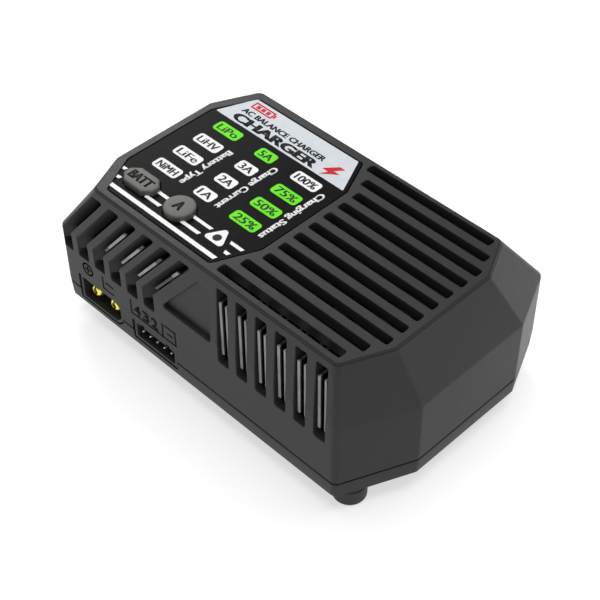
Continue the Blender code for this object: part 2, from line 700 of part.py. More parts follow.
def make_light_guides(looks):
    """One clear bar for each indicator column, with four raised windows that fill the holes in the shell."""
    base_top = TOP_Z - LABEL_RECESS - WALL - GAP
    for name, x in zip(("type", "current", "status"), COLUMN_X):
        middle = (PILL_Y[0] + PILL_Y[-1]) / 2
        width = PILL_SIZE[0] + 2 * GUIDE_MARGIN[0]
        length = PILL_Y[0] - PILL_Y[-1] + PILL_SIZE[1] + 2 * GUIDE_MARGIN[1]
        outline = rectangle(width, length, (x, middle))
        guide = node(
            f"light_guide_{name}",
            lambda mesh, shape=outline: prism(mesh, shape, base_top - GUIDE_THICKNESS, base_top),
            looks["guide"],
        )

        def windows(mesh, x=x):
            for y in PILL_Y:
                outline = stadium(PILL_SIZE[0] - 2 * GAP, PILL_SIZE[1] - 2 * GAP, (x, y))
                prism(mesh, outline, base_top - GUIDE_THICKNESS / 2, TOP_Z - LABEL_RECESS)
        combine(guide, "UNION", f"join_windows_{name}", windows)


def make_ui_board(looks):
    outline = rectangle(*UI_BOARD_SIZE, UI_BOARD_CENTRE)
    top = UI_BOARD_Z + BOARD_THICKNESS
    node("display_board", lambda mesh: prism(mesh, outline, UI_BOARD_Z, top), looks["board"])
    low = UI_BOARD_Z + BOARD_THICKNESS + GAP
    for number, switch_x in enumerate(COLUMN_X[:2], 1):
        def switch(mesh, switch_x=switch_x):
            size = rectangle(SWITCH_SIZE[0], SWITCH_SIZE[1], (switch_x, BUTTON_Y))
            prism(mesh, size, low, low + SWITCH_SIZE[2] - BUTTON_TRAVEL - PLUNGER_RISE)
        made = node(f"button_switch_{number}", switch, looks["black"])

        def plunger(mesh, switch_x=switch_x):
            outline = circle(PLUNGER_RADIUS, ROUND_STEPS, (switch_x, BUTTON_Y))
            prism(mesh, outline, low + PAST, low + SWITCH_SIZE[2] - BUTTON_TRAVEL)
        combine(made, "UNION", f"join_plunger_{number}", plunger)


# ---------------------------------------------------------------- sockets

def xt_outline(size):
    """A socket outline with its two right corners cut."""
    x, z = size[0] / 2, size[1] / 2
    cut = XT_CORNER_SHARE * size[1]
    points = [(-x, -z), (x - cut, -z), (x, -z + cut), (x, z - cut), (x - cut, z), (-x, z)]
    return [Vector((XT_X + a, XT_Z + b)) for a, b in points]


def make_battery_socket(looks):
    face = BREAK_OUTLINE.front + PORT_FACE
    housing = node(
        "discharge_socket",
        lambda mesh: front_prism(mesh, xt_outline(XT_SIZE), face, face + XT_DEPTH),
        looks["black"],
    )
    combine(housing, "DIFFERENCE", "cut_socket_cavity", lambda mesh: front_prism(
        mesh, xt_outline(XT_CAVITY), face - PAST, face + XT_CAVITY[2]))

    def bores(mesh):
        for side in (-1, 1):
            outline = circle(XT_PIN_RADIUS + GAP, ROUND_STEPS, (XT_X + side * XT_PIN_SPACING / 2, XT_Z))
            front_prism(mesh, outline, face + XT_BORE_START, face + XT_DEPTH + PAST)
    combine(housing, "DIFFERENCE", "cut_pin_bores", bores)
    for name, side in (("negative", -1), ("positive", 1)):
        x = XT_X + side * XT_PIN_SPACING / 2

        def pin(mesh, x=x):
            shape = [(XT_DEPTH + XT_PIN_TAIL, 1.0), *reversed(XT_PIN_TIP)]
            front_loft(mesh, [
                (circle(XT_PIN_RADIUS * share, ROUND_STEPS, (x, XT_Z)), face + depth)
                for depth, share in shape])
        made = node(f"discharge_pin_{name}", pin, looks["gold"])

        def split(mesh, x=x):
            width, height, depth = XT_SPLIT
            front_prism(mesh, rectangle(width, height, (x, XT_Z)), face - PAST, face + depth)
        combine(made, "DIFFERENCE", f"cut_split_{name}", split)


def make_balance_socket(looks):
    face = BREAK_OUTLINE.front + PORT_FACE
    housing = node(
        "balance_socket",
        lambda mesh: front_prism(
            mesh, rectangle(*BALANCE_SIZE, (BALANCE_X, BALANCE_Z)), face, face + BALANCE_DEPTH),
        looks["black"],
    )
    combine(housing, "DIFFERENCE", "cut_balance_cavity", lambda mesh: front_prism(
        mesh, rectangle(BALANCE_CAVITY[0], BALANCE_CAVITY[1], (BALANCE_X, BALANCE_Z)),
        face - PAST, face + BALANCE_CAVITY[2]))
    pin_x = [BALANCE_X + (i - (BALANCE_PINS - 1) / 2) * BALANCE_PITCH for i in range(BALANCE_PINS)]
    clearance = BALANCE_PIN_SIDE + GAP

    def bores(mesh):
        for x in pin_x:
            outline = rectangle(clearance, clearance, (x, BALANCE_Z))
            front_prism(mesh, outline, face + BALANCE_BORE_START, face + FAR)
    combine(housing, "DIFFERENCE", "cut_balance_bores", bores)
    for number, x in enumerate(pin_x, 1):
        def pin(mesh, x=x):
            sections = []
            for depth, share in [(BALANCE_DEPTH + BALANCE_PIN_TAIL, 1.0), *reversed(BALANCE_PIN_TIP)]:
                side = BALANCE_PIN_SIDE * share
                sections.append((rectangle(side, side, (x, BALANCE_Z)), face + depth))
            front_loft(mesh, sections)
        node(f"balance_pin_{number}", pin, looks["steel"])


def make_mains_inlet(looks):
    face = BREAK_OUTLINE.rear - PORT_FACE
    housing = node(
        "mains_inlet",
        lambda mesh: front_prism(mesh, rectangle(*INLET_SIZE, (INLET_X, INLET_Z)), face - INLET_DEPTH, face),
        looks["black"],
    )
    combine(housing, "DIFFERENCE", "cut_inlet_cavity", lambda mesh: front_prism(
        mesh, stadium(INLET_CAVITY[0], INLET_CAVITY[1], (INLET_X, INLET_Z)),
        face - INLET_CAVITY[2], face + PAST))

    def bores(mesh):
        for side in (-1, 1):
            centre = (INLET_X + side * INLET_PIN_SPACING / 2, INLET_Z)
            outline = circle(INLET_PIN_RADIUS + GAP / 2, ROUND_STEPS, centre)
            front_prism(mesh, outline, face - FAR, face - INLET_BORE_START)
    combine(housing, "DIFFERENCE", "cut_inlet_bores", bores)
    for name, side in (("left", -1), ("right", 1)):
        x = INLET_X + side * INLET_PIN_SPACING / 2

        def pin(mesh, x=x):
            shape = [*INLET_PIN_TIP, (INLET_DEPTH + INLET_PIN_TAIL, 1.0)]
            front_loft(mesh, [
                (circle(INLET_PIN_RADIUS * share, ROUND_STEPS, (x, INLET_Z)), face - depth)
                for depth, share in shape])
        node(f"mains_pin_{name}", pin, looks["steel"])


# ---------------------------------------------------------------- inside

def make_main_board(looks):
    board = node(
        "main_board",
        lambda mesh: prism(mesh, rectangle(*BOARD_SIZE), BOARD_Z, BOARD_Z + BOARD_THICKNESS),
        looks["board"],
    )

    def clearances(mesh):
        front = BREAK_OUTLINE.front
        for x, size, depth in ((XT_X, XT_SIZE, XT_DEPTH), (BALANCE_X, BALANCE_SIZE, BALANCE_DEPTH)):
            low = (x - size[0] / 2 - GAP, front, 0)
            high = (x + size[0] / 2 + GAP, front + depth + SOCKET_BAY_MARGIN, 2 * BOARD_Z)
            box(mesh, low, high)
    combine(board, "DIFFERENCE", "cut_socket_bays", clearances)

    def notches(mesh):
        for x, y in SCREW_PLACES:
            prism(mesh, circle(BOSS_RADIUS + GAP, ROUND_STEPS, (x, y)), 0, 2 * BOARD_Z)
    combine(board, "DIFFERENCE", "cut_boss_notches", notches)


def board_top():
    return BOARD_Z + BOARD_THICKNESS + GAP


def make_output_heat_sink(looks):
    """A plate on the main board with a pair of fins whose edges stand in each upright vent."""
    front = BREAK_OUTLINE.front
    back = front + OUTPUT_PLATE_SETBACK
    left, right = VENT_LEFT, VENT_LEFT + (VENT_COUNT - 1) * VENT_PITCH + VENT_WIDTH
    sink = node(
        "output_heat_sink",
        lambda mesh: box(mesh, (left, back, board_top()), (right, back + SINK_PLATE, SINK_TOP)),
        looks["aluminium"],
    )

    def fins(mesh):
        for i in range(VENT_COUNT):
            for lead, width in FIN_LEADS:
                x = VENT_LEFT + i * VENT_PITCH + lead
                low = (x, front + FIN_SETBACK, SINK_FIN_BOTTOM)
                box(mesh, low, (x + width, back + SINK_PLATE / 2, SINK_TOP - TINY))
    combine(sink, "UNION", "join_output_fins", fins)


def make_input_heat_sink(looks):
    """A plate behind the gills, with leaning fins whose edges stand in the last four of them."""
    front = BREAK_OUTLINE.front
    near = front + INPUT_PLATE_SETBACK
    far = near + INPUT_PLATE_THICKNESS
    low, high = INPUT_PLATE_Z
    left, right = INPUT_PLATE_X
    sink = node(
        "input_heat_sink", lambda mesh: box(mesh, (left, near, low), (right, far, high)), looks["aluminium"])

    def fins(mesh):
        for number in range(2, VENT_COUNT):
            lead = GILL_LEFT + number * VENT_PITCH + GILL_WIDTH - INPUT_FIN_INSET
            start, end = low + GAP, high - GAP
            foot = lead + GILL_LEAN * (start - GILL_BEND_Z)
            head = lead + GILL_LEAN * (end - GILL_BEND_Z)
            outline = [
                Vector((foot - INPUT_FIN_WIDTH, start)),
                Vector((foot, start)),
                Vector((head, end)),
                Vector((head - INPUT_FIN_WIDTH, end)),
            ]
            front_prism(mesh, outline, front + FIN_SETBACK, (near + far) / 2)
    combine(sink, "UNION", "join_input_fins", fins)


def make_power_parts(looks):
    low = board_top()

    def core(mesh):
        box(mesh, (CORE_X[0], CORE_Y[0], low), (CORE_X[1], CORE_Y[1], low + CORE_HEIGHT))

    def winding(mesh):
        outline = circle(WINDING_RADIUS, FINE_STEPS, (sum(CORE_X) / 2, sum(CORE_Y) / 2))
        base = low + CORE_HEIGHT + GAP
        prism(mesh, outline, base, base + WINDING_HEIGHT)
    node("transformer_core", core, looks["black"])
    node("transformer_winding", winding, looks["tape"])
    for name, centre, radius, height, look in ROUND_PARTS:
        outline = circle(radius, FINE_STEPS, centre)
        node(name, lambda mesh, shape=outline, top=low + height: prism(mesh, shape, low, top), looks[look])

    def choke(mesh):
        steps, around = CHOKE_STEPS
        centre = Vector((*CHOKE_CENTRE, low + CHOKE_WIRE))
        rows = []
        for i in range(steps):
            a = math.tau * i / steps
            row = []
            for j in range(around):
                b = math.tau * j / around
                r = CHOKE_RING + CHOKE_WIRE * math.cos(b)
                arm = Vector((r * math.cos(a), r * math.sin(a), CHOKE_WIRE * math.sin(b)))
                row.append(mesh.verts.new(centre + arm))
            rows.append(row)
        for i in range(steps):
            for j in range(around):
                a, b = rows[i], rows[(i + 1) % steps]
                mesh.faces.new((a[j], b[j], b[(j + 1) % around], a[(j + 1) % around]))
    node("output_choke", choke, looks["copper"])


# ---------------------------------------------------------------- fan

def make_fan(looks):
    x, y = FAN_CENTRE
    low = FAN_TOP - FAN_DEPTH
    outline = rounded(rectangle(FAN_SIDE, FAN_SIDE, FAN_CENTRE), FAN_CORNER)
    frame = node("fan_frame", lambda mesh: prism(mesh, outline, low, FAN_TOP), looks["black"])
    combine(frame, "DIFFERENCE", "cut_fan_bore", lambda mesh: prism(
        mesh, circle(FAN_BORE, 48, FAN_CENTRE), low - PAST, FAN_TOP + PAST))

    def base(mesh):
        prism(mesh, circle(HUB_RADIUS, FINE_STEPS, FAN_CENTRE), low, low + FAN_BASE)

    def spokes(mesh):
        for turn in range(SPOKE_COUNT):
            angle = math.tau * turn / SPOKE_COUNT + math.radians(SPOKE_TURN)
            out = Vector((math.cos(angle), math.sin(angle)))
            side = Vector((-out.y, out.x)) * SPOKE_WIDTH / 2
            start = Vector(FAN_CENTRE) + out * SPOKE_RADII[0]
            end = Vector(FAN_CENTRE) + out * SPOKE_RADII[1]
            outline = [start - side, end - side, end + side, start + side]
            prism(mesh, outline, low, low + SPOKE_THICKNESS)
    combine(frame, "UNION", "join_fan_base", base)
    combine(frame, "UNION", "join_fan_spokes", spokes)
    hub_low, hub_high = low + HUB_SPAN[0], low + HUB_SPAN[1]

    def hub(mesh):
        rings = [
            (hub_low, HUB_RADIUS),
            (hub_high - HUB_EDGE, HUB_RADIUS),
            (hub_high, HUB_RADIUS - HUB_EDGE),
        ]
        loft(mesh, [[Vector((p.x, p.y, z)) for p in circle(r, FINE_STEPS, FAN_CENTRE)] for z, r in rings])
    rotor = node("fan_rotor", hub, looks["black"], (x, y, low + FAN_DEPTH / 2))

    def blades(mesh):
        for number in range(BLADE_COUNT):
            start = math.tau * number / BLADE_COUNT
            rows = []
            for radius in BLADE_RADII:
                sweep = BLADE_SWEEP * (radius - HUB_RADIUS) / (FAN_BORE - HUB_RADIUS)
                row = []
                for side, rise in ((-BLADE_SPAN / 2, BLADE_RISE[0]), (BLADE_SPAN / 2, BLADE_RISE[1])):
                    for thick in (-BLADE_THICKNESS / 2, BLADE_THICKNESS / 2):
                        angle = start + side + sweep
                        row.append(mesh.verts.new((
                            x + radius * math.cos(angle), y + radius * math.sin(angle), low + rise + thick)))
                rows.append([row[0], row[2], row[3], row[1]])
            for a, b in zip(rows, rows[1:]):
                for i in range(4):
                    mesh.faces.new((a[i], a[(i + 1) % 4], b[(i + 1) % 4], b[i]))
            mesh.faces.new(reversed(rows[0]))
            mesh.faces.new(rows[-1])
    combine(rotor, "UNION", "join_blades", blades)


def main():
    for thing in list(bpy.data.objects):
        bpy.data.objects.remove(thing)
    looks = make_materials()
    make_top_shell(looks)
    make_bottom_shell(looks)
    make_feet(looks)
    make_case_screws(looks)
    make_label(looks)
    make_buttons(looks)
    make_light_guides(looks)
    make_ui_board(looks)
    make_battery_socket(looks)
    make_balance_socket(looks)
    make_mains_inlet(looks)
    make_main_board(looks)
    make_output_heat_sink(looks)
    make_input_heat_sink(looks)
    make_power_parts(looks)
    make_fan(looks)


main()
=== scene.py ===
"""The balance battery charger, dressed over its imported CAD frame, in a plain studio."""

import math

import bmesh
import bpy
from mathutils import Matrix, Vector


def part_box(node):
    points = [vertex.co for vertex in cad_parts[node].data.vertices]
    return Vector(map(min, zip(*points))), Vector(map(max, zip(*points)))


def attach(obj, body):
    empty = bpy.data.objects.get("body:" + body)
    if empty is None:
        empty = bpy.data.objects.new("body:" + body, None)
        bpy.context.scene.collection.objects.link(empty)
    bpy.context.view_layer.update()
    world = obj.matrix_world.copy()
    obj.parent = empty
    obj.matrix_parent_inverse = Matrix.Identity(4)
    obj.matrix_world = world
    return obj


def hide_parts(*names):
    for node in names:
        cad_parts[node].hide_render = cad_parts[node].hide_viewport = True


MM = 0.001

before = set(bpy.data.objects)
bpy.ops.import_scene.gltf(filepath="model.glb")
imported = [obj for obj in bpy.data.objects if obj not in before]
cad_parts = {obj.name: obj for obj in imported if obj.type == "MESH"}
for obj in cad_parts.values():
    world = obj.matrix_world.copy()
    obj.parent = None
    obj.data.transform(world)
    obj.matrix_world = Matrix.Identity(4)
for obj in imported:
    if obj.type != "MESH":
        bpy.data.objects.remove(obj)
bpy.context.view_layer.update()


# ---------------------------------------------------------------- sizes from the frame

SHELL_LOW, SHELL_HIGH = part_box("top_shell")
UNDER_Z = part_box("bottom_shell")[0].z
LABEL_LOW, LABEL_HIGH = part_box("label_plate")
FRONT, REAR = SHELL_LOW.y, SHELL_HIGH.y
LEFT, RIGHT = SHELL_LOW.x, SHELL_HIGH.x
TOP_Z = SHELL_HIGH.z
JOINT = 0.15 * MM  # half the gap between the two shells
PARTING_Z = SHELL_LOW.z - JOINT
BREAK_Z = TOP_Z - 19.3 * MM
WALL = 2.0 * MM

# Cut corners, as (along X, along Y): front left, rear left, rear right, front right.
WIDE_CUTS = ((1.8, 15.4), (7.2, 15.8), (7.2, 15.8), (8.0, 18.0))
TOP_CUTS = ((4.6, 10.6), (5.4, 11.3), (5.2, 10.3), (5.2, 11.6))
TOP_INSETS = (12.1, 3.7, 1.0, 15.3)  # of the top face from the widest outline: left, right, front, rear
LABEL_CUTS = ((4.8, 10.0), (5.2, 10.4), (4.2, 9.6), (4.8, 10.4))
CORNER_RADIUS = 2.0 * MM
TOP_EDGE = 0.40 * MM
GROOVE = 0.14 * MM  # a fine line all round, just under the top edge
GROOVE_Z = TOP_Z - 0.75 * MM
LIP = 0.22 * MM  # rounding of the openings' edges
LIP_STEPS = 3
CLEAR = 2 * MM  # how far a cutter stands out of the face that it cuts

SLOT_COUNT = 11
SLOT_PITCH = 4.55 * MM
SLOT_WIDTH = 2.3 * MM
SLOT_RADIUS = 0.55 * MM
SLOT_DEPTH = 6 * MM
SLOT_LEFT, SLOT_RIGHT = LEFT + 59.3 * MM, RIGHT - 5.5 * MM
SLOT_REAR_Y = REAR - 17.5 * MM
SLOT_SHIFTS = {0: -4.2, 1: -1.7, 9: -2.0, 10: -4.3}  # along X, of the rows near the cut corners

VENT_COUNT = 6
VENT_PITCH = 5.86 * MM
VENT_LEFT = LEFT + 56.8 * MM
VENT_WIDTH = 3.3 * MM
VENT_RADIUS = 0.5 * MM
VENT_DEPTH = 5 * MM
VENT_BOTTOM, VENT_TOP = TOP_Z - 25.1 * MM, TOP_Z - 3.0 * MM
GILL_LEFT = LEFT + 2.5 * MM
GILL_WIDTH = 3.6 * MM
GILL_BEND_Z = BREAK_Z - 0.2 * MM
GILL_LEAN = 0.80  # run along X for each step up, above the bend
GILL_RADII = (0.4, 0.4, 0.5, 0.5, 0.7, 0.5)
GILL_RIB_DEPTH = 4.5 * MM
GILL_THROAT = 1.1 * MM  # width left once the slanting side has come in
GILL_NOTCH = 2.2 * MM
GILL_NOTCH_DEPTH = 4.2 * MM
PANEL_LEFT, PANEL_RIGHT = LEFT + 38.4 * MM, LEFT + 54.4 * MM
PANEL_BOTTOM, PANEL_TOP = TOP_Z - 20.8 * MM, TOP_Z - 5.3 * MM
PANEL_DEPTH = 1.2 * MM
PANEL_LIP = 0.4 * MM

FILM_GAP = 0.25 * MM
FILM_THICKNESS = 0.4 * MM
LABEL_RECESS = 0.8 * MM
KEY_GAP = 0.3 * MM
KEY_FLANGE = 0.7 * MM
KEY_CUT = (2.0, 1.8)
SEAT_GAP = 0.3 * MM
SHARP_ANGLE = math.radians(38)


# ---------------------------------------------------------------- outlines and solids

def octagon(left, right, front, rear, cuts):
    """Eight corners, anticlockwise from the front edge's left end, with each corner cut off."""
    fl, rl, rr, fr = [(a * MM, b * MM) for a, b in cuts]
    return [
        Vector((left + fl[0], front)),
        Vector((right - fr[0], front)),
        Vector((right, front + fr[1])),
        Vector((right, rear - rr[1])),
        Vector((right - rr[0], rear)),
        Vector((left + rl[0], rear)),
        Vector((left, rear - rl[1])),
        Vector((left, front + fl[1])),
    ]


def edge_turns(corners):
    """For each corner: itself, the direction of the edge before it, and the signed turn there."""
    count = len(corners)
    for i, corner in enumerate(corners):
        before = (corner - corners[i - 1]).normalized()
        after = (corners[(i + 1) % count] - corner).normalized()
        cross = before.x * after.y - before.y * after.x
        yield corner, before, math.atan2(cross, before.dot(after))


def grown(corners, distance):
    """The anticlockwise outline with each edge moved out by distance."""
    moved = []
    for corner, before, turn in edge_turns(corners):
        inward = Vector((-before.y, before.x))
        moved.append(corner - distance * (inward - before * math.tan(turn / 2)))
    return moved


def rounded(corners, radius, steps=6):
    """The outline with each corner as an arc; radius is one number, or one for each corner."""
    radii = radius if hasattr(radius, "__len__") else [radius] * len(corners)
    points = []
    for (corner, before, turn), arc in zip(edge_turns(corners), radii):
        side = 1 if turn >= 0 else -1
        start = corner - before * arc * math.tan(abs(turn) / 2)
        centre = start + Vector((-before.y, before.x)) * arc * side
        for step in range(steps + 1):
            points.append(centre + Matrix.Rotation(turn * step / steps, 2) @ (start - centre))
    return points


def circle(radius, steps=40, centre=(0, 0)):
    angles = [math.tau * i / steps for i in range(steps)]
    return [Vector((centre[0] + radius * math.cos(a), centre[1] + radius * math.sin(a))) for a in angles]


def rectangle(size_x, size_y, centre=(0, 0)):
    x, y = size_x / 2, size_y / 2
    return [Vector((centre[0] + a, centre[1] + b)) for a, b in ((-x, -y), (x, -y), (x, y), (-x, y))]


def split_at(outline, height):
    """The outline with a point added wherever an edge crosses the given second coordinate."""
    points = []
    for first, second in zip(outline, outline[1:] + outline[:1]):
        points.append(first)
        if (first.y - height) * (second.y - height) < 0:
            points.append(first.lerp(second, (height - first.y) / (second.y - first.y)))
    return points


def loft(mesh, rings):
    """Adds a closed solid through rings of 3-D points with the same count."""
    rows = [[mesh.verts.new(point) for point in ring] for ring in rings]
    count = len(rows[0])
    mesh.faces.new(reversed(rows[0]))
    mesh.faces.new(rows[-1])
    for low, high in zip(rows, rows[1:]):
        for i in range(count):
            mesh.faces.new((low[i], low[(i + 1) % count], high[(i + 1) % count], high[i]))


def at_height(outline, z):
    return [Vector((p.x, p.y, z)) for p in outline]


def upright(outline, y):
    """An outline in X and Z, stood up at one depth."""
    return [Vector((p.x, y, p.y)) for p in outline]


def on_front(outline, down):
    """An outline in X and Z, laid on the front wall and moved in by down."""
    return [Vector((p.x, front_y(p.y) + down, p.y)) for p in outline]


def middle_xy(low, high):
    return ((low.x + high.x) / 2, (low.y + high.y) / 2)


def middle_xz(low, high):
    return ((low.x + high.x) / 2, (low.z + high.z) / 2)


def prism(mesh, outline, low, high):
    loft(mesh, [at_height(outline, low), at_height(outline, high)])


def front_y(z):
    """Where the front wall's outer face is at a height."""
    share = max(0.0, (z - BREAK_Z) / (TOP_Z - BREAK_Z))
    return FRONT + share * TOP_INSETS[2] * MM


def quarter(radius, steps=LIP_STEPS):
    """Steps of a quarter arc as (distance out, distance down), from the wall to the face."""
    angles = [math.pi / 2 * i / steps for i in range(steps + 1)]
    return [(radius * (1 - math.cos(a)), radius * (1 - math.sin(a))) for a in angles]


def quarter_down(radius, steps=4):
    """Steps of a rounded top edge as (distance in, distance down), from the face to the wall."""
    angles = [math.pi / 2 * i / steps for i in range(steps + 1)]
    return [(radius * (1 - math.sin(a)), radius * (1 - math.cos(a))) for a in angles]


def top_cut(mesh, shape, face_z, depth, lip=LIP):
    """A cutter down through a level face; shape(grow) is its outline, and its mouth is rounded."""
    rings = [at_height(shape(0.0), face_z - depth)]
    rings += [at_height(shape(out), face_z - down) for out, down in quarter(lip)]
    rings.append(at_height(shape(lip), face_z + CLEAR))
    loft(mesh, rings)


def front_cut(mesh, shape, depth, lip=LIP):
    """A cutter into the front wall; shape(grow) is its outline in X and Z, and its mouth is rounded."""
    rings = [on_front(shape(0.0), depth)]
    rings += [on_front(shape(out), down) for out, down in quarter(lip)]
    rings.append(on_front(shape(lip), -CLEAR))
    loft(mesh, rings)


def rear_cut(mesh, shape, face_y, depth, lip=LIP):
    """A cutter into a face that looks to the rear, with a rounded mouth."""
    rings = [upright(shape(0.0), face_y - depth)]
    rings += [upright(shape(out), face_y - down) for out, down in quarter(lip)]
    rings.append(upright(shape(lip), face_y + CLEAR))
    loft(mesh, rings)


def block(mesh, shape, face_y, back_y, edge):
    """A solid whose outline is in X and Z; the edge of its face, at face_y, is rounded."""
    inwards = 1 if back_y > face_y else -1
    rings = [upright(shape(0.0), back_y)]
    rings += [upright(shape(-out), face_y + inwards * down) for out, down in quarter(edge)]
    loft(mesh, rings)


def lathe(mesh, profile, centre):
    """Profile points are (radius, height) from the bottom up."""
    loft(mesh, [at_height(circle(r, centre=centre), z) for r, z in profile])


def finished(obj):
    """Smooth faces that turn sharp at real edges, with normals that follow the large faces."""
    obj.data.shade_smooth()
    obj.data.set_sharp_from_angle(angle=SHARP_ANGLE)
    weighted = obj.modifiers.new("face_weighted_normals", "WEIGHTED_NORMAL")
    weighted.keep_sharp = True
    weighted.weight = 60
    return obj


def raw(name, build):
    """A mesh object from what build adds to an empty mesh."""
    mesh = bmesh.new()
    build(mesh)
    bmesh.ops.recalc_face_normals(mesh, faces=mesh.faces)
    data = bpy.data.meshes.new(name)
    mesh.to_mesh(data)
    mesh.free()
    made = bpy.data.objects.new(name, data)
    bpy.context.scene.collection.objects.link(made)
    return made


def carved(name, build, steps=()):
    """The solid build makes, with each (operation, build) of steps applied to it in turn."""
    made = raw(name, build)
    helpers = []
    for i, (operation, shape) in enumerate(steps):
        helper = raw(f"{name}_helper_{i}", shape)
        helpers.append(helper)
        modifier = made.modifiers.new(f"step_{i}", "BOOLEAN")
        modifier.operation = operation
        modifier.object = helper
        modifier.solver = "EXACT"
    graph = bpy.context.evaluated_depsgraph_get()
    data = bpy.data.meshes.new_from_object(made.evaluated_get(graph))
    made.modifiers.clear()
    old = made.data
    made.data = data
    bpy.data.meshes.remove(old)
    for helper in helpers:
        shape = helper.data
        bpy.data.objects.remove(helper)
        bpy.data.meshes.remove(shape)
    data.name = name
    return finished(made)


def piece(made, look, body="case", stands_for=()):
    """Gives a piece its material, slot and body, and hides the CAD nodes that it stands for."""
    made.data.materials.clear()
    made.data.materials.append(look)
    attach(made, body)
    if stands_for:
        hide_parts(*stands_for)
    return made


# ---------------------------------------------------------------- materials

class Look:
    """A node material with object-space noise for colour, gloss and surface grain."""

    def __init__(self, name):
        self.material = bpy.data.materials.new(name)
        self.material.use_nodes = True
        self.tree = self.material.node_tree
        self.shader = self.tree.nodes["Principled BSDF"]
        self.coords = self.tree.nodes.new("ShaderNodeTexCoord").outputs["Object"]

    def add(self, kind, **values):
        made = self.tree.nodes.new(kind)
        for key, value in values.items():
            made.inputs[key.replace("_", " ")].default_value = value
        return made

    def link(self, start, end):
        self.tree.links.new(start, end)

    def noise(self, scale, detail=3.0, roughness=0.5, stretch=None):
        made = self.add("ShaderNodeTexNoise", Scale=scale, Detail=detail, Roughness=roughness)
        vector = self.coords
        if stretch:
            mapping = self.tree.nodes.new("ShaderNodeMapping")
            mapping.inputs["Scale"].default_value = stretch
            self.link(self.coords, mapping.inputs["Vector"])
            vector = mapping.outputs["Vector"]
        self.link(vector, made.inputs["Vector"])
        return made.outputs["Fac"]

    def ramp(self, source, dark, light, low=0.3, high=0.7):
        made = self.tree.nodes.new("ShaderNodeValToRGB")
        first, last = made.color_ramp.elements
        first.position, last.position = low, high
        first.color, last.color = (*dark, 1), (*light, 1)
        self.link(source, made.inputs["Fac"])
        return made.outputs["Color"]

    def colour(self, source, dark, light, low=0.3, high=0.7):
        self.link(self.ramp(source, dark, light, low, high), self.shader.inputs["Base Color"])

    def gloss(self, source, low, high):
        made = self.add("ShaderNodeMapRange", To_Min=low, To_Max=high)
        self.link(source, made.inputs["Value"])
        self.link(made.outputs["Result"], self.shader.inputs["Roughness"])

    def grain(self, source, depth, before=None):
        made = self.add("ShaderNodeBump", Strength=1.0, Distance=depth)
        self.link(source, made.inputs["Height"])
        if before is not None:
            self.link(before, made.inputs["Normal"])
        self.link(made.outputs["Normal"], self.shader.inputs["Normal"])
        return made.outputs["Normal"]

    def set(self, **values):
        for key, value in values.items():
            self.shader.inputs[key.replace("_", " ")].default_value = value
        return self


def plastic(name, dark, light, gloss, grain_scale, grain_depth, specular=0.5):
    """Moulded plastic or rubber with a fine grain."""
    look = Look(name)
    look.colour(look.noise(55, 4), dark, light)
    look.gloss(look.noise(240, 3), *gloss)
    look.grain(look.noise(grain_scale, 3, 0.6), grain_depth)
    look.set(Specular_IOR_Level=specular)
    return look.material


def metal(name, dark, light, gloss, stretch=(1, 1, 14), scale=600):
    """Brushed metal, whose fine lines follow the stretch."""
    look = Look(name)
    look.colour(look.noise(160, 3), dark, light)
    brushed = look.noise(scale, 3, 0.6, stretch)
    look.gloss(brushed, *gloss)
    look.grain(brushed, 0.000008)
    look.set(Metallic=1.0)
    return look.material


def make_case_look():
    """Moulded charcoal plastic with a fine spark-eroded texture."""
    look = Look("charcoal_case_plastic")
    look.colour(look.noise(38, 4), (0.0245, 0.0249, 0.0255), (0.0295, 0.0299, 0.0305))
    look.gloss(look.noise(420, 3), 0.34, 0.42)
    coarse = look.grain(look.noise(900, 2, 0.5), 0.000008)
    look.grain(look.noise(3800, 2, 0.7), 0.000006, before=coarse)
    look.set(Specular_IOR_Level=0.12)
    return look.material


def make_print_look(name, dark, light, gloss=(0.40, 0.50), specular=0.08):
    """Screen-printed ink, with the slight mottle that it dries with."""
    look = Look(name)
    look.colour(look.noise(500, 4, 0.6), dark, light)
    look.gloss(look.noise(900, 2), *gloss)
    look.grain(look.noise(5200, 2, 0.6), 0.000004)
    look.set(Specular_IOR_Level=specular)
    return look.material


def make_board_look():
    """Green solder mask over a faint net of tracks."""
    look = Look("green_solder_mask")
    tracks = look.tree.nodes.new("ShaderNodeTexBrick")
    tracks.inputs["Scale"].default_value = 190
    tracks.inputs["Mortar Size"].default_value = 0.06
    tracks.inputs["Color1"].default_value = (0.008, 0.075, 0.030, 1)
    tracks.inputs["Color2"].default_value = (0.010, 0.090, 0.036, 1)
    tracks.inputs["Mortar"].default_value = (0.020, 0.150, 0.060, 1)
    look.link(look.coords, tracks.inputs["Vector"])
    look.link(tracks.outputs["Color"], look.shader.inputs["Base Color"])
    look.gloss(look.noise(700, 2), 0.28, 0.40)
    look.grain(look.noise(900, 3), 0.00001)
    return look.material


def make_winding_look(name, dark, light, scale):
    """Turns of enamelled wire or tape, as fine bands around the body."""
    look = Look(name)
    bands = look.tree.nodes.new("ShaderNodeTexWave")
    bands.bands_direction = "Z"
    bands.inputs["Scale"].default_value = scale
    bands.inputs["Distortion"].default_value = 1.2
    bands.inputs["Detail"].default_value = 2.0
    look.link(look.coords, bands.inputs["Vector"])
    look.colour(bands.outputs["Fac"], dark, light, 0.15, 0.85)
    look.gloss(look.noise(500, 2), 0.25, 0.42)
    look.grain(bands.outputs["Fac"], 0.00012)
    return look.material


def make_guide_look():
    """Frosted clear acrylic."""
    look = Look("frosted_light_guide")
    look.colour(look.noise(300, 3), (0.62, 0.66, 0.64), (0.78, 0.80, 0.78))
    look.gloss(look.noise(600, 2), 0.22, 0.34)
    look.grain(look.noise(2400, 2), 0.00001)
    look.set(Transmission_Weight=0.55, IOR=1.49)
    return look.material


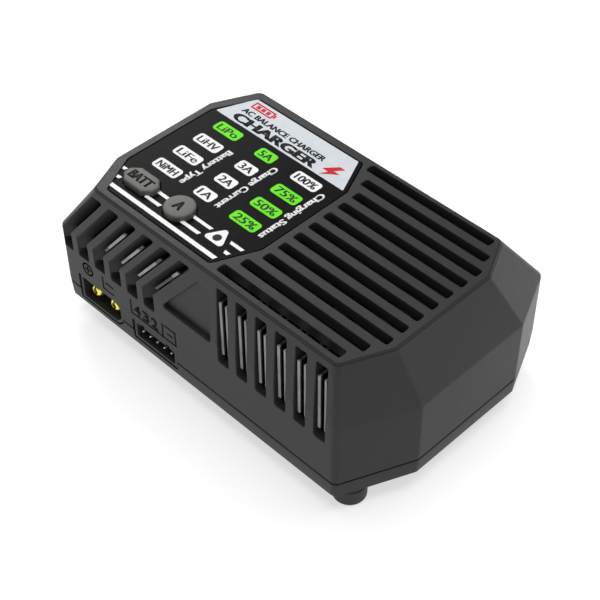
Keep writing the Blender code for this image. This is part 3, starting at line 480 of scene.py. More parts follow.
CASE = make_case_look()
FILM = make_print_look(
    "black_label_film", (0.0022, 0.0022, 0.0024), (0.0034, 0.0034, 0.0037), (0.34, 0.42), 0.03)
WHITE_INK = make_print_look("white_ink", (0.70, 0.71, 0.72), (0.80, 0.80, 0.81))
GREEN_INK = make_print_look("lit_green_ink", (0.100, 0.62, 0.004), (0.125, 0.70, 0.006))
SILVER_INK = make_print_look("silver_header_ink", (0.50, 0.53, 0.56), (0.545, 0.575, 0.605))
DARK_INK = make_print_look("dark_ink", (0.010, 0.011, 0.012), (0.018, 0.018, 0.020))
RED_INK = make_print_look("red_ink", (0.42, 0.008, 0.012), (0.55, 0.015, 0.020))
KEY = plastic(
    "grey_key_rubber", (0.098, 0.098, 0.089), (0.112, 0.111, 0.101),
    (0.42, 0.50), 3200, 0.000006, 0.2)
KEY_INK = make_print_look("key_lettering", (0.012, 0.012, 0.011), (0.020, 0.020, 0.018))
BLACK = plastic(
    "black_socket_plastic", (0.0220, 0.0220, 0.0224), (0.0290, 0.0290, 0.0295),
    (0.36, 0.46), 2600, 0.000008, 0.2)
# Near black: painted shade standing in for the shadow inside the engraved marks by the sockets
ENGRAVING_SHADE = plastic(
    "painted_engraving_shade", (0.0020, 0.0020, 0.0022), (0.0034, 0.0034, 0.0037),
    (0.60, 0.70), 2600, 0.000008, 0.05)
RUBBER = plastic(
    "black_foot_rubber", (0.0085, 0.0085, 0.0088), (0.0140, 0.0140, 0.0145),
    (0.50, 0.62), 1500, 0.00002, 0.4)
GOLD = metal("gold_plating", (0.90, 0.80, 0.10), (1.0, 0.92, 0.16), (0.30, 0.42))
STEEL = metal("bright_tinned_metal", (0.80, 0.80, 0.79), (0.92, 0.92, 0.91), (0.28, 0.38))
SINK = metal(
    "black_anodised_aluminium", (0.030, 0.031, 0.033), (0.050, 0.051, 0.054),
    (0.34, 0.46), (1, 1, 0.06), 1400)
# Light grey metal for the bare fin edges seen in the gills, and for painted highlights drawn as strips at
# the vents' sides
FIN_EDGE_AND_HIGHLIGHT = metal(
    "bare_aluminium_edge_and_painted_highlight", (0.20, 0.205, 0.21), (0.30, 0.305, 0.31),
    (0.45, 0.55), (1, 1, 0.06), 1400)
BOARD = make_board_look()
COPPER = make_winding_look("enamelled_copper_wire", (0.36, 0.10, 0.025), (0.74, 0.28, 0.08), 320)
TAPE = make_winding_look("yellow_winding_tape", (0.52, 0.36, 0.03), (0.72, 0.54, 0.08), 90)
SLEEVE = plastic(
    "capacitor_sleeve", (0.006, 0.010, 0.028), (0.010, 0.016, 0.044), (0.20, 0.30), 900, 0.000008)
GUIDE = make_guide_look()


# ---------------------------------------------------------------- case

def wide_outline(inset=0.0):
    """The case's outline up to the break, moved in by inset."""
    corners = octagon(LEFT, RIGHT, FRONT, REAR, WIDE_CUTS)
    return rounded(grown(corners, -inset), CORNER_RADIUS)


def case_outline(z, inset=0.0):
    """The upper shell's outer outline at a height, moved in by inset."""
    left, right, front, rear = [value * MM for value in TOP_INSETS]
    wide = octagon(LEFT, RIGHT, FRONT, REAR, WIDE_CUTS)
    top = octagon(LEFT + left, RIGHT - right, FRONT + front, REAR - rear, TOP_CUTS)
    share = min(1.0, max(0.0, (z - BREAK_Z) / (TOP_Z - BREAK_Z)))
    corners = [a.lerp(b, share) for a, b in zip(wide, top)]
    return rounded(grown(corners, -inset), CORNER_RADIUS)


def upper_body(mesh):
    base = PARTING_Z + JOINT
    rings = [(base, 0.30 * MM), (base + 0.08 * MM, 0.10 * MM), (base + 0.30 * MM, 0.0)]
    rings += [(BREAK_Z - 0.45 * MM, 0.0), (BREAK_Z + 0.05 * MM, 0.03 * MM), (BREAK_Z + 0.45 * MM, 0.0)]
    rings += [(GROOVE_Z - GROOVE, 0.0), (GROOVE_Z - GROOVE / 2, GROOVE), (GROOVE_Z + GROOVE / 2, GROOVE)]
    rings += [(GROOVE_Z + GROOVE, 0.0)]
    rings += [(TOP_Z - down, out) for out, down in reversed(quarter_down(TOP_EDGE))]
    loft(mesh, [at_height(case_outline(z, inset), z) for z, inset in rings])


def upper_cavity(mesh):
    ceiling = TOP_Z - WALL - 0.8 * MM
    loft(mesh, [
        at_height(wide_outline(WALL), PARTING_Z - 1 * MM),
        at_height(wide_outline(WALL), BREAK_Z - 0.8 * MM),
        at_height(case_outline(ceiling, WALL * 1.25), ceiling),
    ])


def label_shape(grow=0.0):
    corners = octagon(LABEL_LOW.x, LABEL_HIGH.x, LABEL_LOW.y, LABEL_HIGH.y, LABEL_CUTS)
    return rounded(grown(corners, grow), 0.7 * MM + grow)


def label_recess(mesh):
    top_cut(mesh, lambda grow: label_shape(FILM_GAP + grow), TOP_Z, LABEL_RECESS, 0.15 * MM)


def grille(mesh):
    for row in range(SLOT_COUNT):
        shift = SLOT_SHIFTS.get(row, 0.0) * MM
        centre = ((SLOT_LEFT + SLOT_RIGHT) / 2 + shift, SLOT_REAR_Y - row * SLOT_PITCH)
        size = rectangle(SLOT_RIGHT - SLOT_LEFT, SLOT_WIDTH, centre)

        def shape(grow, size=size):
            return rounded(grown(size, grow), SLOT_RADIUS + grow, 5)
        top_cut(mesh, shape, TOP_Z, SLOT_DEPTH)


def vents(mesh):
    for i in range(VENT_COUNT):
        left = VENT_LEFT + i * VENT_PITCH
        centre = (left + VENT_WIDTH / 2, (VENT_TOP + VENT_BOTTOM) / 2)
        size = rectangle(VENT_WIDTH, VENT_TOP - VENT_BOTTOM, centre)

        def shape(grow, size=size):
            return split_at(rounded(grown(size, grow), VENT_RADIUS + grow, 4), BREAK_Z)
        front_cut(mesh, shape, VENT_DEPTH)


def gill_corners(left, right, low, high):
    """Upright below the bend and leaning above it."""
    run = GILL_LEAN * (high - GILL_BEND_Z)
    return [
        Vector((left, low)),
        Vector((right, low)),
        Vector((right, GILL_BEND_Z)),
        Vector((right + run, high)),
        Vector((left + run, high)),
        Vector((left, GILL_BEND_Z)),
    ]


def gill_ribs(mesh):
    """The thick field behind the wall that the gills cut into deep ribs."""
    field = gill_corners(LEFT + 4.2 * MM, LEFT + 37.0 * MM, VENT_BOTTOM - 1.2 * MM, VENT_TOP + 0.5 * MM)
    loft(mesh, [upright(field, FRONT + depth) for depth in (GILL_RIB_DEPTH, WALL * 0.6)])


def gills(mesh):
    """Bent slots through the wall and the field behind it, each with a slanting left side."""
    radii = [value * MM for value in GILL_RADII]
    for i in range(VENT_COUNT):
        left = GILL_LEFT + i * VENT_PITCH
        right = left + GILL_WIDTH
        mouth = gill_corners(left, right, VENT_BOTTOM, VENT_TOP)
        throat = gill_corners(right - GILL_THROAT, right, VENT_BOTTOM, VENT_TOP)

        def ring(corners, grow, down, share=1.0):
            return on_front(rounded(grown(corners, grow), [r * share + grow for r in radii], 5), down)
        slant = GILL_WIDTH - GILL_THROAT
        rings = [ring(throat, 0.0, down, 0.4) for down in (GILL_RIB_DEPTH + 1.5 * MM, slant + LIP)]
        rings += [ring(mouth, out, down) for out, down in quarter(LIP)]
        rings.append(ring(mouth, LIP, -CLEAR))
        loft(mesh, rings)


def gill_notches(mesh):
    """The full width of each slot goes deep at its lower end."""
    for i in range(VENT_COUNT):
        left = GILL_LEFT + i * VENT_PITCH
        centre = (left + GILL_WIDTH / 2, VENT_BOTTOM + GILL_NOTCH / 2)
        outline = rounded(rectangle(GILL_WIDTH, GILL_NOTCH, centre), 0.4 * MM, 4)
        loft(mesh, [on_front(outline, down) for down in (GILL_NOTCH_DEPTH, -CLEAR / 2)])


def panel(mesh):
    """The shallow recess between the gills and the upright vents."""
    corners = [
        Vector((PANEL_LEFT, PANEL_BOTTOM)),
        Vector((PANEL_RIGHT, PANEL_BOTTOM)),
        Vector((PANEL_RIGHT, PANEL_TOP)),
        Vector((PANEL_LEFT + GILL_LEAN * (PANEL_TOP - PANEL_BOTTOM), PANEL_TOP)),
    ]

    def shape(grow):
        return split_at(rounded(grown(corners, grow), VENT_RADIUS + grow, 4), BREAK_Z)
    front_cut(mesh, shape, PANEL_DEPTH, PANEL_LIP)


def box_shape(low, high, cut=0.0, radius=0.3 * MM):
    """An outline in X and Z that fills a box; the right corners may be cut off."""
    corners = [Vector((low.x, low.z)), Vector((high.x - cut, low.z))]
    if cut:
        corners.append(Vector((high.x, low.z + cut)))
        corners.append(Vector((high.x, high.z - cut)))
        corners.append(Vector((high.x - cut, high.z)))
    else:
        corners.append(Vector((high.x, high.z)))
    corners.append(Vector((low.x, high.z)))
    return lambda grow: rounded(grown(corners, grow), radius + max(grow, -radius * 0.6), 3)


PORT_CUTS = {"discharge_socket": 1.9 * MM, "balance_socket": 0.0, "mains_inlet": 0.0}
PORT_CLEARANCE = 0.3 * MM


def port_shape(node):
    """An opening's outline in X and Z, all round the housing that stands in it."""
    low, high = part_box(node)
    shape = box_shape(low, high, PORT_CUTS[node])
    return lambda grow: shape(grow + PORT_CLEARANCE)


def ports(mesh):
    for node in ("discharge_socket", "balance_socket"):
        low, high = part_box(node)
        front_cut(mesh, port_shape(node), high.y - low.y + 1 * MM, 0.12 * MM)


def inlet(mesh):
    rear_cut(mesh, port_shape("mains_inlet"), REAR, 6 * MM)


def key_shape(node):
    """A key's outline from its node: an octagon for the long one, a circle for the round one."""
    low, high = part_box(node)
    centre = Vector(middle_xy(low, high))
    half = Vector(((high.x - low.x) / 2 - KEY_FLANGE, (high.y - low.y) / 2 - KEY_FLANGE))
    if half.x - half.y < 0.5 * MM:
        return lambda grow: circle(half.x + grow, 48, centre)
    left, right = centre.x - half.x, centre.x + half.x
    front, rear = centre.y - half.y, centre.y + half.y
    corners = octagon(left, right, front, rear, (KEY_CUT,) * 4)
    return lambda grow: rounded(grown(corners, grow), 0.5 * MM + max(grow, -0.3 * MM), 5)


def key_holes(mesh):
    for node in ("batt_button", "amp_button"):
        shape = key_shape(node)
        prism(mesh, shape(KEY_GAP), TOP_Z - 6 * MM, TOP_Z + 1 * MM)


upper_case = carved("upper_case", upper_body, [
    ("DIFFERENCE", upper_cavity),
    ("UNION", gill_ribs),
    ("DIFFERENCE", label_recess),
    ("DIFFERENCE", key_holes),
    ("DIFFERENCE", grille),
    ("DIFFERENCE", vents),
    ("DIFFERENCE", gills),
    ("DIFFERENCE", gill_notches),
    ("DIFFERENCE", panel),
    ("DIFFERENCE", ports),
    ("DIFFERENCE", inlet),
])
piece(upper_case, CASE, stands_for=["top_shell"])


def lower_body(mesh):
    top = PARTING_Z - JOINT
    rings = [(UNDER_Z, 0.75 * MM), (UNDER_Z + 0.15 * MM, 0.45 * MM), (UNDER_Z + 0.5 * MM, 0.25 * MM)]
    rings += [(top - 0.30 * MM, 0.05 * MM), (top - 0.08 * MM, 0.14 * MM), (top, 0.34 * MM)]
    loft(mesh, [at_height(wide_outline(inset), z) for z, inset in rings])


def lower_cavity(mesh):
    prism(mesh, wide_outline(WALL + 1 * MM), UNDER_Z + WALL, PARTING_Z + 3 * MM)


def lower_recesses(mesh):
    """Seats for the feet and the screw heads, and a shallow panel between them."""
    for number in range(1, 5):
        low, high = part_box(f"foot_{number}")
        seat = circle((high.x - low.x) / 2 + SEAT_GAP, 40, middle_xy(low, high))
        prism(mesh, seat, 0, UNDER_Z + 0.8 * MM)
        low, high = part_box(f"case_screw_{number}")
        seat = circle((high.x - low.x) / 2 + SEAT_GAP, 32, middle_xy(low, high))
        prism(mesh, seat, 0, UNDER_Z + 2.3 * MM)
    middle = rounded(rectangle(56 * MM, 34 * MM), 2 * MM)
    prism(mesh, middle, 0, UNDER_Z + 0.3 * MM)


lower_case = carved("lower_case", lower_body, [
    ("DIFFERENCE", lower_cavity),
    ("DIFFERENCE", lower_recesses),
    ("DIFFERENCE", ports),
])
piece(lower_case, CASE, stands_for=["bottom_shell"])


# ---------------------------------------------------------------- label film and its print

LABEL_CENTRE = (LABEL_LOW + LABEL_HIGH) / 2
FILM_Z = LABEL_HIGH.z
INK = 0.03 * MM
COLUMNS = []  # the places along X of the three columns, one over each light guide
for guide in ("light_guide_type", "light_guide_current", "light_guide_status"):
    low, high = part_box(guide)
    COLUMNS.append((low.x + high.x) / 2)
PILL_HEIGHT = 3.4 * MM
# All three guides reach along the same four rows, so the last one's box sets the pitch.
ROW_PITCH = (high.y - low.y - PILL_HEIGHT - 1.0 * MM) / 3
ROWS = [high.y - 0.5 * MM - PILL_HEIGHT / 2 - row * ROW_PITCH for row in range(4)]


def on_label(x, y):
    """A place on the label, in millimetres from its centre."""
    return Vector((LABEL_CENTRE.x + x * MM, LABEL_CENTRE.y + y * MM))


def film(mesh):
    bottom = FILM_Z - FILM_THICKNESS
    rings = [(bottom, 0.0), (FILM_Z - 0.06 * MM, 0.0), (FILM_Z, -0.06 * MM)]
    loft(mesh, [at_height(label_shape(grow), z) for z, grow in rings])


label_film = carved("label_film", film, [("DIFFERENCE", key_holes)])
piece(label_film, FILM, stands_for=["label_plate"])


CAP_HEIGHT = 0.70  # of the typeface, for a size of one


def lettering(mesh, text, left, right, base, height, level, turned=False, weight=0.02, bold=0.0):
    """Adds text that fills a width; bold spreads its strokes, and turned text reads from rear to front."""
    curve = bpy.data.curves.new("letters", "FONT")
    curve.body = text
    curve.offset = weight
    curve.resolution_u = 4
    helper = bpy.data.objects.new("letters", curve)
    bpy.context.scene.collection.objects.link(helper)
    graph = bpy.context.evaluated_depsgraph_get()
    data = bpy.data.meshes.new_from_object(helper.evaluated_get(graph))
    xs = [v.co.x for v in data.vertices]
    scale_x = (right - left - 2 * bold) / (max(xs) - min(xs))
    scale_y = height / CAP_HEIGHT
    for layer, shift in enumerate((0.0, bold, 2 * bold) if bold else (0.0,)):
        start = len(mesh.verts)
        mesh.from_mesh(data)
        mesh.verts.ensure_lookup_table()
        rise = level + layer * INK / 10
        for vert in mesh.verts[start:]:
            x, y = left + shift + (vert.co.x - min(xs)) * scale_x, base + vert.co.y * scale_y
            vert.co = (y, -x, rise) if turned else (x, y, rise)
    bpy.data.objects.remove(helper)
    bpy.data.curves.remove(curve)
    bpy.data.meshes.remove(data)


def raised(name, build, look, body="case"):
    """Thin print: build makes flat faces, which are then given the ink's thickness."""
    made = raw(name, build)
    thick = made.modifiers.new("ink_thickness", "SOLIDIFY")
    thick.thickness = INK * 0.6
    thick.offset = -1
    return piece(made, look, body)


def patch(mesh, outline, level):
    """Adds one flat face."""
    mesh.faces.new([mesh.verts.new((p.x, p.y, level)) for p in outline])


HEADER = [on_label(-20.8, 13.2), on_label(20.6, 13.2), on_label(16.2, 22.9), on_label(-16.8, 22.9)]
LEVEL_1 = FILM_Z + INK
LEVEL_2 = LEVEL_1 + INK
PILL_WIDTHS = [7.8 * MM, 5.4 * MM, 7.8 * MM]
PILL_TEXTS = [["LiPo", "LiHV", "LiFe", "NiMH"], ["5A", "3A", "2A", "1A"], ["100%", "75%", "50%", "25%"]]
LIT = {(0, 0), (1, 0), (2, 1), (2, 2), (2, 3)}
CAPTIONS = (("Battery Type", -6.9, 5.1), ("Charge Current", 4.7, 8.3), ("Charging Status", 18.5, 9.3))
BARS = (  # place along Y, height, and the runs along X, in millimetres from the label's centre
    (-15.7, 0.85, ((-20.4, -19.0), (-9.0, -4.4), (3.4, 9.5), (15.1, 19.2))),
    (-18.55, 0.9, ((-19.1, -17.6), (-9.4, -4.1), (2.4, 8.6), (16.2, 17.9))),
    (-21.35, 1.1, ((-17.9, 16.7),)),
)
BAR_LEAN = 0.35
SIGN = ((9.0, -18.4), (15.3, -18.4), (12.15, -12.9))
BOLT = ((14.6, 18.6), (11.9, 15.6), (13.7, 15.6), (12.7, 13.7), (16.3, 16.6), (14.5, 16.6), (16.2, 18.6))


def pill(column, row, grow=0.0):
    size = rectangle(PILL_WIDTHS[column], PILL_HEIGHT, (COLUMNS[column], ROWS[row]))
    return rounded(grown(size, grow), 0.9 * MM + grow, 5)


def white_print(mesh):
    """Unlit windows, turned captions, the bars that run behind the keys, and a warning triangle."""
    for column in range(3):
        for row in range(4):
            if (column, row) not in LIT:
                patch(mesh, pill(column, row), LEVEL_1)
    for text, x, rear in CAPTIONS:
        base = on_label(x - 0.75, 0).x
        start, end = -on_label(0, rear).y, -on_label(0, -10.2).y
        lettering(mesh, text, start, end, base, 1.7 * MM, LEVEL_1, turned=True, weight=0.012, bold=0.1 * MM)
    for y, height, runs in BARS:
        for left, right in runs:
            corners = [
                on_label(left + BAR_LEAN, y - height / 2),
                on_label(right - BAR_LEAN, y - height / 2),
                on_label(right, y + height / 2),
                on_label(left, y + height / 2),
            ]
            patch(mesh, corners, LEVEL_1)
    patch(mesh, rounded([on_label(x, y) for x, y in SIGN], 0.8 * MM, 5), LEVEL_1)


def green_print(mesh):
    for column, row in LIT:
        patch(mesh, pill(column, row), LEVEL_1)


def header_print(mesh):
    patch(mesh, rounded(HEADER, 0.25 * MM, 3), LEVEL_1)


def dark_print(mesh):
    """The lettering in the windows and the header, and the dot in the warning triangle."""
    for column in range(3):
        for row in range(4):
            text = PILL_TEXTS[column][row]
            half = (0.36 if column == 1 else 0.40) * PILL_WIDTHS[column]
            x = COLUMNS[column]
            base = ROWS[row] - 1.05 * MM
            lettering(mesh, text, x - half, x + half, base, 2.1 * MM, LEVEL_2, weight=0.0, bold=0.11 * MM)
    left, right = on_label(-16.4, 0).x, on_label(10.4, 0).x
    lower, upper = on_label(0, 13.9).y, on_label(0, 16.9).y + 0.3 * MM
    lettering(mesh, "CHARGER", left, right, lower, 2.6 * MM, LEVEL_2, bold=0.26 * MM)
    line = "AC BALANCE CHARGER"
    lettering(mesh, line, left, right, upper, 1.6 * MM, LEVEL_2, weight=0.012, bold=0.1 * MM)
    dot = on_label(12.15, -16.7)
    patch(mesh, circle(1.05 * MM, 28, dot), LEVEL_2)


def red_print(mesh):
    """A small battery outline and a charging bolt."""
    cell = rectangle(6.6 * MM, 2.4 * MM, on_label(-12.6, 20.9))
    inner = grown(cell, -0.45 * MM)
    for a, b, c, d in zip(cell, cell[1:] + cell[:1], inner[1:] + inner[:1], inner):
        patch(mesh, [a, b, c, d], LEVEL_2)
    patch(mesh, rectangle(0.6 * MM, 1.1 * MM, on_label(-8.9, 20.9)), LEVEL_2)
    for x in (-14.6, -13.0, -11.4):
        patch(mesh, rectangle(1.1 * MM, 1.1 * MM, on_label(x + 0.4, 20.9)), LEVEL_2)
    patch(mesh, [on_label(x, y) for x, y in BOLT], LEVEL_2)


raised("white_print", white_print, WHITE_INK)
raised("lit_windows", green_print, GREEN_INK)
raised("silver_header", header_print, SILVER_INK)
raised("dark_print", dark_print, DARK_INK)
raised("header_symbols", red_print, RED_INK)


# ---------------------------------------------------------------- keys

def key_body(node):
    """A cap on a flange that stays under the case's top, over a short stem."""
    low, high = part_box(node)
    shape = key_shape(node)

    def build(mesh):
        flange = TOP_Z - 3.1 * MM
        under, rim, stem, edge = flange - 0.8 * MM, 0.65 * MM, -1.6 * MM, 0.45 * MM
        rings = [(low.z, stem), (under, stem), (under, rim), (flange, rim), (flange, 0.0)]
        rings.append((high.z - edge, 0.0))
        for i in range(1, 5):
            angle = math.pi / 2 * i / 4
            rise = (edge - 0.08 * MM) * math.sin(angle)
            rings.append((high.z - edge + rise, -edge * (1 - math.cos(angle))))
        rings.append((high.z, stem))
        loft(mesh, [at_height(shape(grow), z) for z, grow in rings])
    return build


for node, body, text, half, height in (
    ("batt_button", "batt_key", "BATT", 3.5 * MM, 2.5 * MM),
    ("amp_button", "amp_key", "A", 1.25 * MM, 2.7 * MM),
):
    cap = carved(f"{body}_cap", key_body(node))
    piece(cap, KEY, body, stands_for=[node])
    low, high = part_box(node)
    centre = (low + high) / 2

    def key_print(mesh, text=text, half=half, height=height, centre=centre, top=high.z):
        left, right = centre.x - half, centre.x + half
        lettering(mesh, text, left, right, centre.y - height / 2, height, top + 0.02 * MM, bold=0.16 * MM)
    raised(f"{body}_lettering", key_print, KEY_INK, body)


# ---------------------------------------------------------------- sockets and contacts

def socket(name, node, margin, depth, slot_keys=()):
    """A moulded housing with a hollow mouth of the given margin and depth."""
    low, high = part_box(node)
    edge = Vector((margin, 0, margin))
    cut = PORT_CUTS[node]
    outer = box_shape(low, high, cut)
    inner = box_shape(low + edge, high - edge, cut * 0.8)

    def body(mesh):
        block(mesh, outer, low.y, high.y, 0.2 * MM)

    def mouth(mesh):
        lip = 0.25 * MM
        rings = [upright(inner(0.0), low.y + depth)]
        rings += [upright(inner(out), low.y + down) for out, down in quarter(lip)]
        rings.append(upright(inner(lip), low.y - 1 * MM))
        loft(mesh, rings)

    def keyways(mesh):
        for x, width in slot_keys:
            size = rectangle(width, margin * 3, (x, high.z - margin / 2))
            loft(mesh, [upright(size, y) for y in (low.y + depth * 0.6, low.y - 1 * MM)])
    steps = [("DIFFERENCE", mouth)]
    if slot_keys:
        steps.append(("DIFFERENCE", keyways))
    return piece(carved(name, body, steps), BLACK, stands_for=[node])


socket("discharge_housing", "discharge_socket", 0.8 * MM, 10 * MM)
balance_low, balance_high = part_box("balance_socket")
balance_middle = (balance_low.x + balance_high.x) / 2
socket("balance_housing", "balance_socket", 0.9 * MM, 7 * MM, [
    (balance_middle - 4.4 * MM, 1.3 * MM),
    (balance_middle + 4.4 * MM, 1.3 * MM),
])


def bullet(node):
    """A gold bullet contact, split down its tip, with a collar at its root."""
    low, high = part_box(node)
    centre = (low + high) / 2
    radius = (high.x - low.x) / 2

    def body(mesh):
        length = high.y - low.y
        profile = [(length, 0.8), (10.2 * MM, 0.8), (10.0 * MM, 1.0), (7.2 * MM, 1.0), (7.0 * MM, 0.9)]
        profile += [(2.2 * MM, 1.0), (0.9 * MM, 0.97), (0.35 * MM, 0.85), (0.08 * MM, 0.66), (0.0, 0.5)]
        place = (centre.x, centre.z)
        loft(mesh, [upright(circle(radius * share, 32, place), low.y + depth) for depth, share in profile])

    def split(mesh):
        size = rectangle(0.55 * MM, 3 * radius, (centre.x, centre.z))
        loft(mesh, [upright(size, y) for y in (low.y + 6.5 * MM, low.y - 1 * MM)])

    def bore(mesh):
        ring = circle(radius * 0.45, 24, (centre.x, centre.z))
        loft(mesh, [upright(ring, y) for y in (low.y + 6.0 * MM, low.y - 1 * MM)])
    return body, [("DIFFERENCE", split), ("DIFFERENCE", bore)]


for side in ("negative", "positive"):
    build, steps = bullet(f"discharge_pin_{side}")
    contact = carved(f"discharge_contact_{side}", build, steps)
    piece(contact, GOLD, stands_for=[f"discharge_pin_{side}"])

for number in range(1, 6):
    low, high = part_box(f"balance_pin_{number}")

    def pin(mesh, low=low, high=high):
        side = high.x - low.x
        rings = []
        for depth, share in ((high.y - low.y, 1.0), (0.75 * MM, 1.0), (0.25 * MM, 0.72), (0.0, 0.42)):
            size = rectangle(side * share, side * share, middle_xz(low, high))
            rings.append(upright(rounded(size, side * share * 0.18, 2), low.y + depth))
        loft(mesh, rings)
    contact = carved(f"balance_contact_{number}", pin)
    piece(contact, STEEL, stands_for=[f"balance_pin_{number}"])


def mains_housing(mesh):
    low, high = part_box("mains_inlet")
    block(mesh, box_shape(low, high, radius=0.8 * MM), high.y, low.y, 0.3 * MM)


def mains_mouth(mesh):
    """Two round lobes with a waist between them."""
    low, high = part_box("mains_inlet")
    centre = middle_xz(low, high)
    lobe, spacing, waist = 3.9 * MM, 4.1 * MM, 3.1 * MM

    def shape(grow):
        reach, points = lobe + grow, []
        meet = math.asin(min(1.0, (waist + grow) / reach))
        for side in (1, -1):
            for i in range(21):
                angle = -(math.pi - meet) + 2 * (math.pi - meet) * i / 20
                if side < 0:
                    angle += math.pi
                x = centre[0] + side * spacing + reach * math.cos(angle)
                points.append(Vector((x, centre[1] + reach * math.sin(angle))))
        return points
    rear_cut(mesh, shape, high.y, 10 * MM, 0.3 * MM)


mains = carved("mains_inlet_housing", mains_housing, [("DIFFERENCE", mains_mouth)])
piece(mains, BLACK, stands_for=["mains_inlet"])

for side in ("left", "right"):
    low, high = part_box(f"mains_pin_{side}")

    def prong(mesh, low=low, high=high):
        radius = (high.x - low.x) / 2
        profile = [(high.y - low.y, 1.0), (1.0 * MM, 1.0), (0.5 * MM, 0.9), (0.15 * MM, 0.7), (0.0, 0.4)]
        rings = []
        for back, share in profile:
            rings.append(upright(circle(radius * share, 24, middle_xz(low, high)), high.y - back))
        loft(mesh, rings)
    contact = carved(f"mains_prong_{side}", prong)
    piece(contact, STEEL, stands_for=[f"mains_pin_{side}"])


# ---------------------------------------------------------------- marks over the sockets

LINE = 0.42 * MM
MARK_RISE = 0.02 * MM
DIGIT_PITCH = 3.05 * MM


def wall_patch(mesh, outline):
    """A flat mark on the front wall, from an outline in X and Z."""
    mesh.faces.new([mesh.verts.new(point) for point in on_front(outline, -MARK_RISE)])


def wall_line(mesh, start, end):
    along = (end - start).normalized() * LINE / 2
    across = Vector((-along.y, along.x))
    first, last = start - along, end + along
    wall_patch(mesh, [first - across, last - across, last + across, first + across])


def wall_path(mesh, points):
    for start, end in zip(points, points[1:]):
        wall_line(mesh, start, end)


def port_marks(mesh):
    """A plus in a ring, a minus in a corner, and a frame with a tab round the balance socket's digits."""
    low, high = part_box("discharge_socket")
    centre = Vector((low.x + 4.0 * MM, high.z + 4.1 * MM))
    ring = circle(1.7 * MM, 28, centre)
    wall_path(mesh, ring + ring[:1])
    arm = 0.85 * MM
    wall_line(mesh, centre - Vector((arm, 0)), centre + Vector((arm, 0)))
    wall_line(mesh, centre - Vector((0, arm)), centre + Vector((0, arm)))
    corner = Vector((low.x + 9.6 * MM, high.z + 1.9 * MM))
    side = 3.5 * MM
    wall_path(mesh, [corner + Vector((0, side)), corner, corner + Vector((side, 0))])
    wall_line(mesh, corner + Vector((1.1 * MM, 2.2 * MM)), corner + Vector((side, 2.2 * MM)))
    low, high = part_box("balance_socket")
    base, top = high.z + 2.35 * MM, high.z + 6.5 * MM
    left, right = low.x, high.x + 0.5 * MM
    tab = right - 3.6 * MM
    wall_path(mesh, [Vector((left, top)), Vector((left, base)), Vector((right, base))])
    wall_path(mesh, [Vector((right, base)), Vector((right, top)), Vector((tab, top))])
    wall_line(mesh, Vector((tab - 0.8 * MM, base)), Vector((tab - 0.8 * MM, top)))
    middle_z = (base + top) / 2
    wall_line(mesh, Vector((tab + 0.9 * MM, middle_z)), Vector((right - 1.1 * MM, middle_z)))


def port_digits(mesh):
    """The cell numbers in the frame, laid flat first and then stood up on the wall."""
    low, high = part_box("balance_socket")
    base = high.z + 2.9 * MM
    start = len(mesh.verts)
    for i, text in enumerate("432"):
        left = low.x + 1.0 * MM + i * DIGIT_PITCH
        lettering(mesh, text, left, left + 2.3 * MM, base, 3.1 * MM, 0.0, weight=0.03)
    for vert in list(mesh.verts)[start:]:
        z = vert.co.y
        vert.co = (vert.co.x, front_y(z) - MARK_RISE, z)


def marks(mesh):
    port_marks(mesh)
    port_digits(mesh)


# The marks by the sockets are flat patches in painted shade, standing in for engraved marks
mark_piece = raw("socket_marks", marks)
thick = mark_piece.modifiers.new("mark_depth", "SOLIDIFY")
thick.thickness = 0.06 * MM
thick.offset = 0
piece(mark_piece, ENGRAVING_SHADE)


# ---------------------------------------------------------------- feet

for number in range(1, 5):
    low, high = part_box(f"foot_{number}")

    def foot(mesh, low=low, high=high):
        radius = (high.x - low.x) / 2
        edge, groove = 0.8 * MM, 0.25 * MM
        profile = [(radius * 0.5, low.z + 0.15 * MM), (radius * 0.55, low.z)]
        for i in range(7):
            angle = math.pi / 2 * i / 6
            profile.append((radius - edge * (1 - math.sin(angle)), low.z + edge * (1 - math.cos(angle))))
        profile += [(radius, UNDER_Z - 0.9 * MM), (radius - groove, UNDER_Z - 0.6 * MM)]
        profile += [(radius - groove, UNDER_Z - 0.3 * MM), (radius, UNDER_Z), (radius, high.z)]
        lathe(mesh, profile, middle_xy(low, high))
    piece(carved(f"rubber_foot_{number}", foot), RUBBER, stands_for=[f"foot_{number}"])


# ---------------------------------------------------------------- looks of the pieces inside

INSIDE = {
    "light_guide_type": GUIDE,
    "light_guide_current": GUIDE,
    "light_guide_status": GUIDE,
    "display_board": BOARD,
    "main_board": BOARD,
    "button_switch_1": BLACK,
    "button_switch_2": BLACK,
    "output_heat_sink": SINK,
    "input_heat_sink": SINK,
    "transformer_core": BLACK,
    "transformer_winding": TAPE,
    "bulk_capacitor": SLEEVE,
    "output_capacitor": SLEEVE,
    "mains_fuse": TAPE,
    "output_choke": COPPER,
    "fan_frame": BLACK,
    "fan_rotor": BLACK,
}
INSIDE.update({f"case_screw_{number}": STEEL for number in range(1, 5)})
for name, look in INSIDE.items():
    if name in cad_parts:
        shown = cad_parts[name]
        for slot in shown.material_slots:
            slot.material = look


STRIP_FRONT = FRONT + 0.8 * MM
STRIP_DEPTH = 0.5 * MM
GILL_FIN_WIDTH = 0.85 * MM
VENT_HIGHLIGHTS = ((0.5, 0.7), (2.4, 0.5))  # for each painted highlight strip in a vent: its place and its width
GILL_FINS = {2: (-16.2, -7.6), 3: (-17.9, -8.9), 4: (-17.9, -9.2), 5: (-9.8, -7.2)}  # spans below the top


def light_strip(mesh, outline):
    """One light strip: in a gill, the bare front edge laid over a fin; in a vent, a painted highlight."""
    slim = rounded(grown(outline, 0.04 * MM), 0.14 * MM, 2)
    tip = rounded(grown(outline, -0.06 * MM), 0.10 * MM, 2)
    rings = [upright(slim, STRIP_FRONT + depth) for depth in (STRIP_DEPTH, 0.1 * MM)]
    loft(mesh, rings + [upright(tip, STRIP_FRONT)])
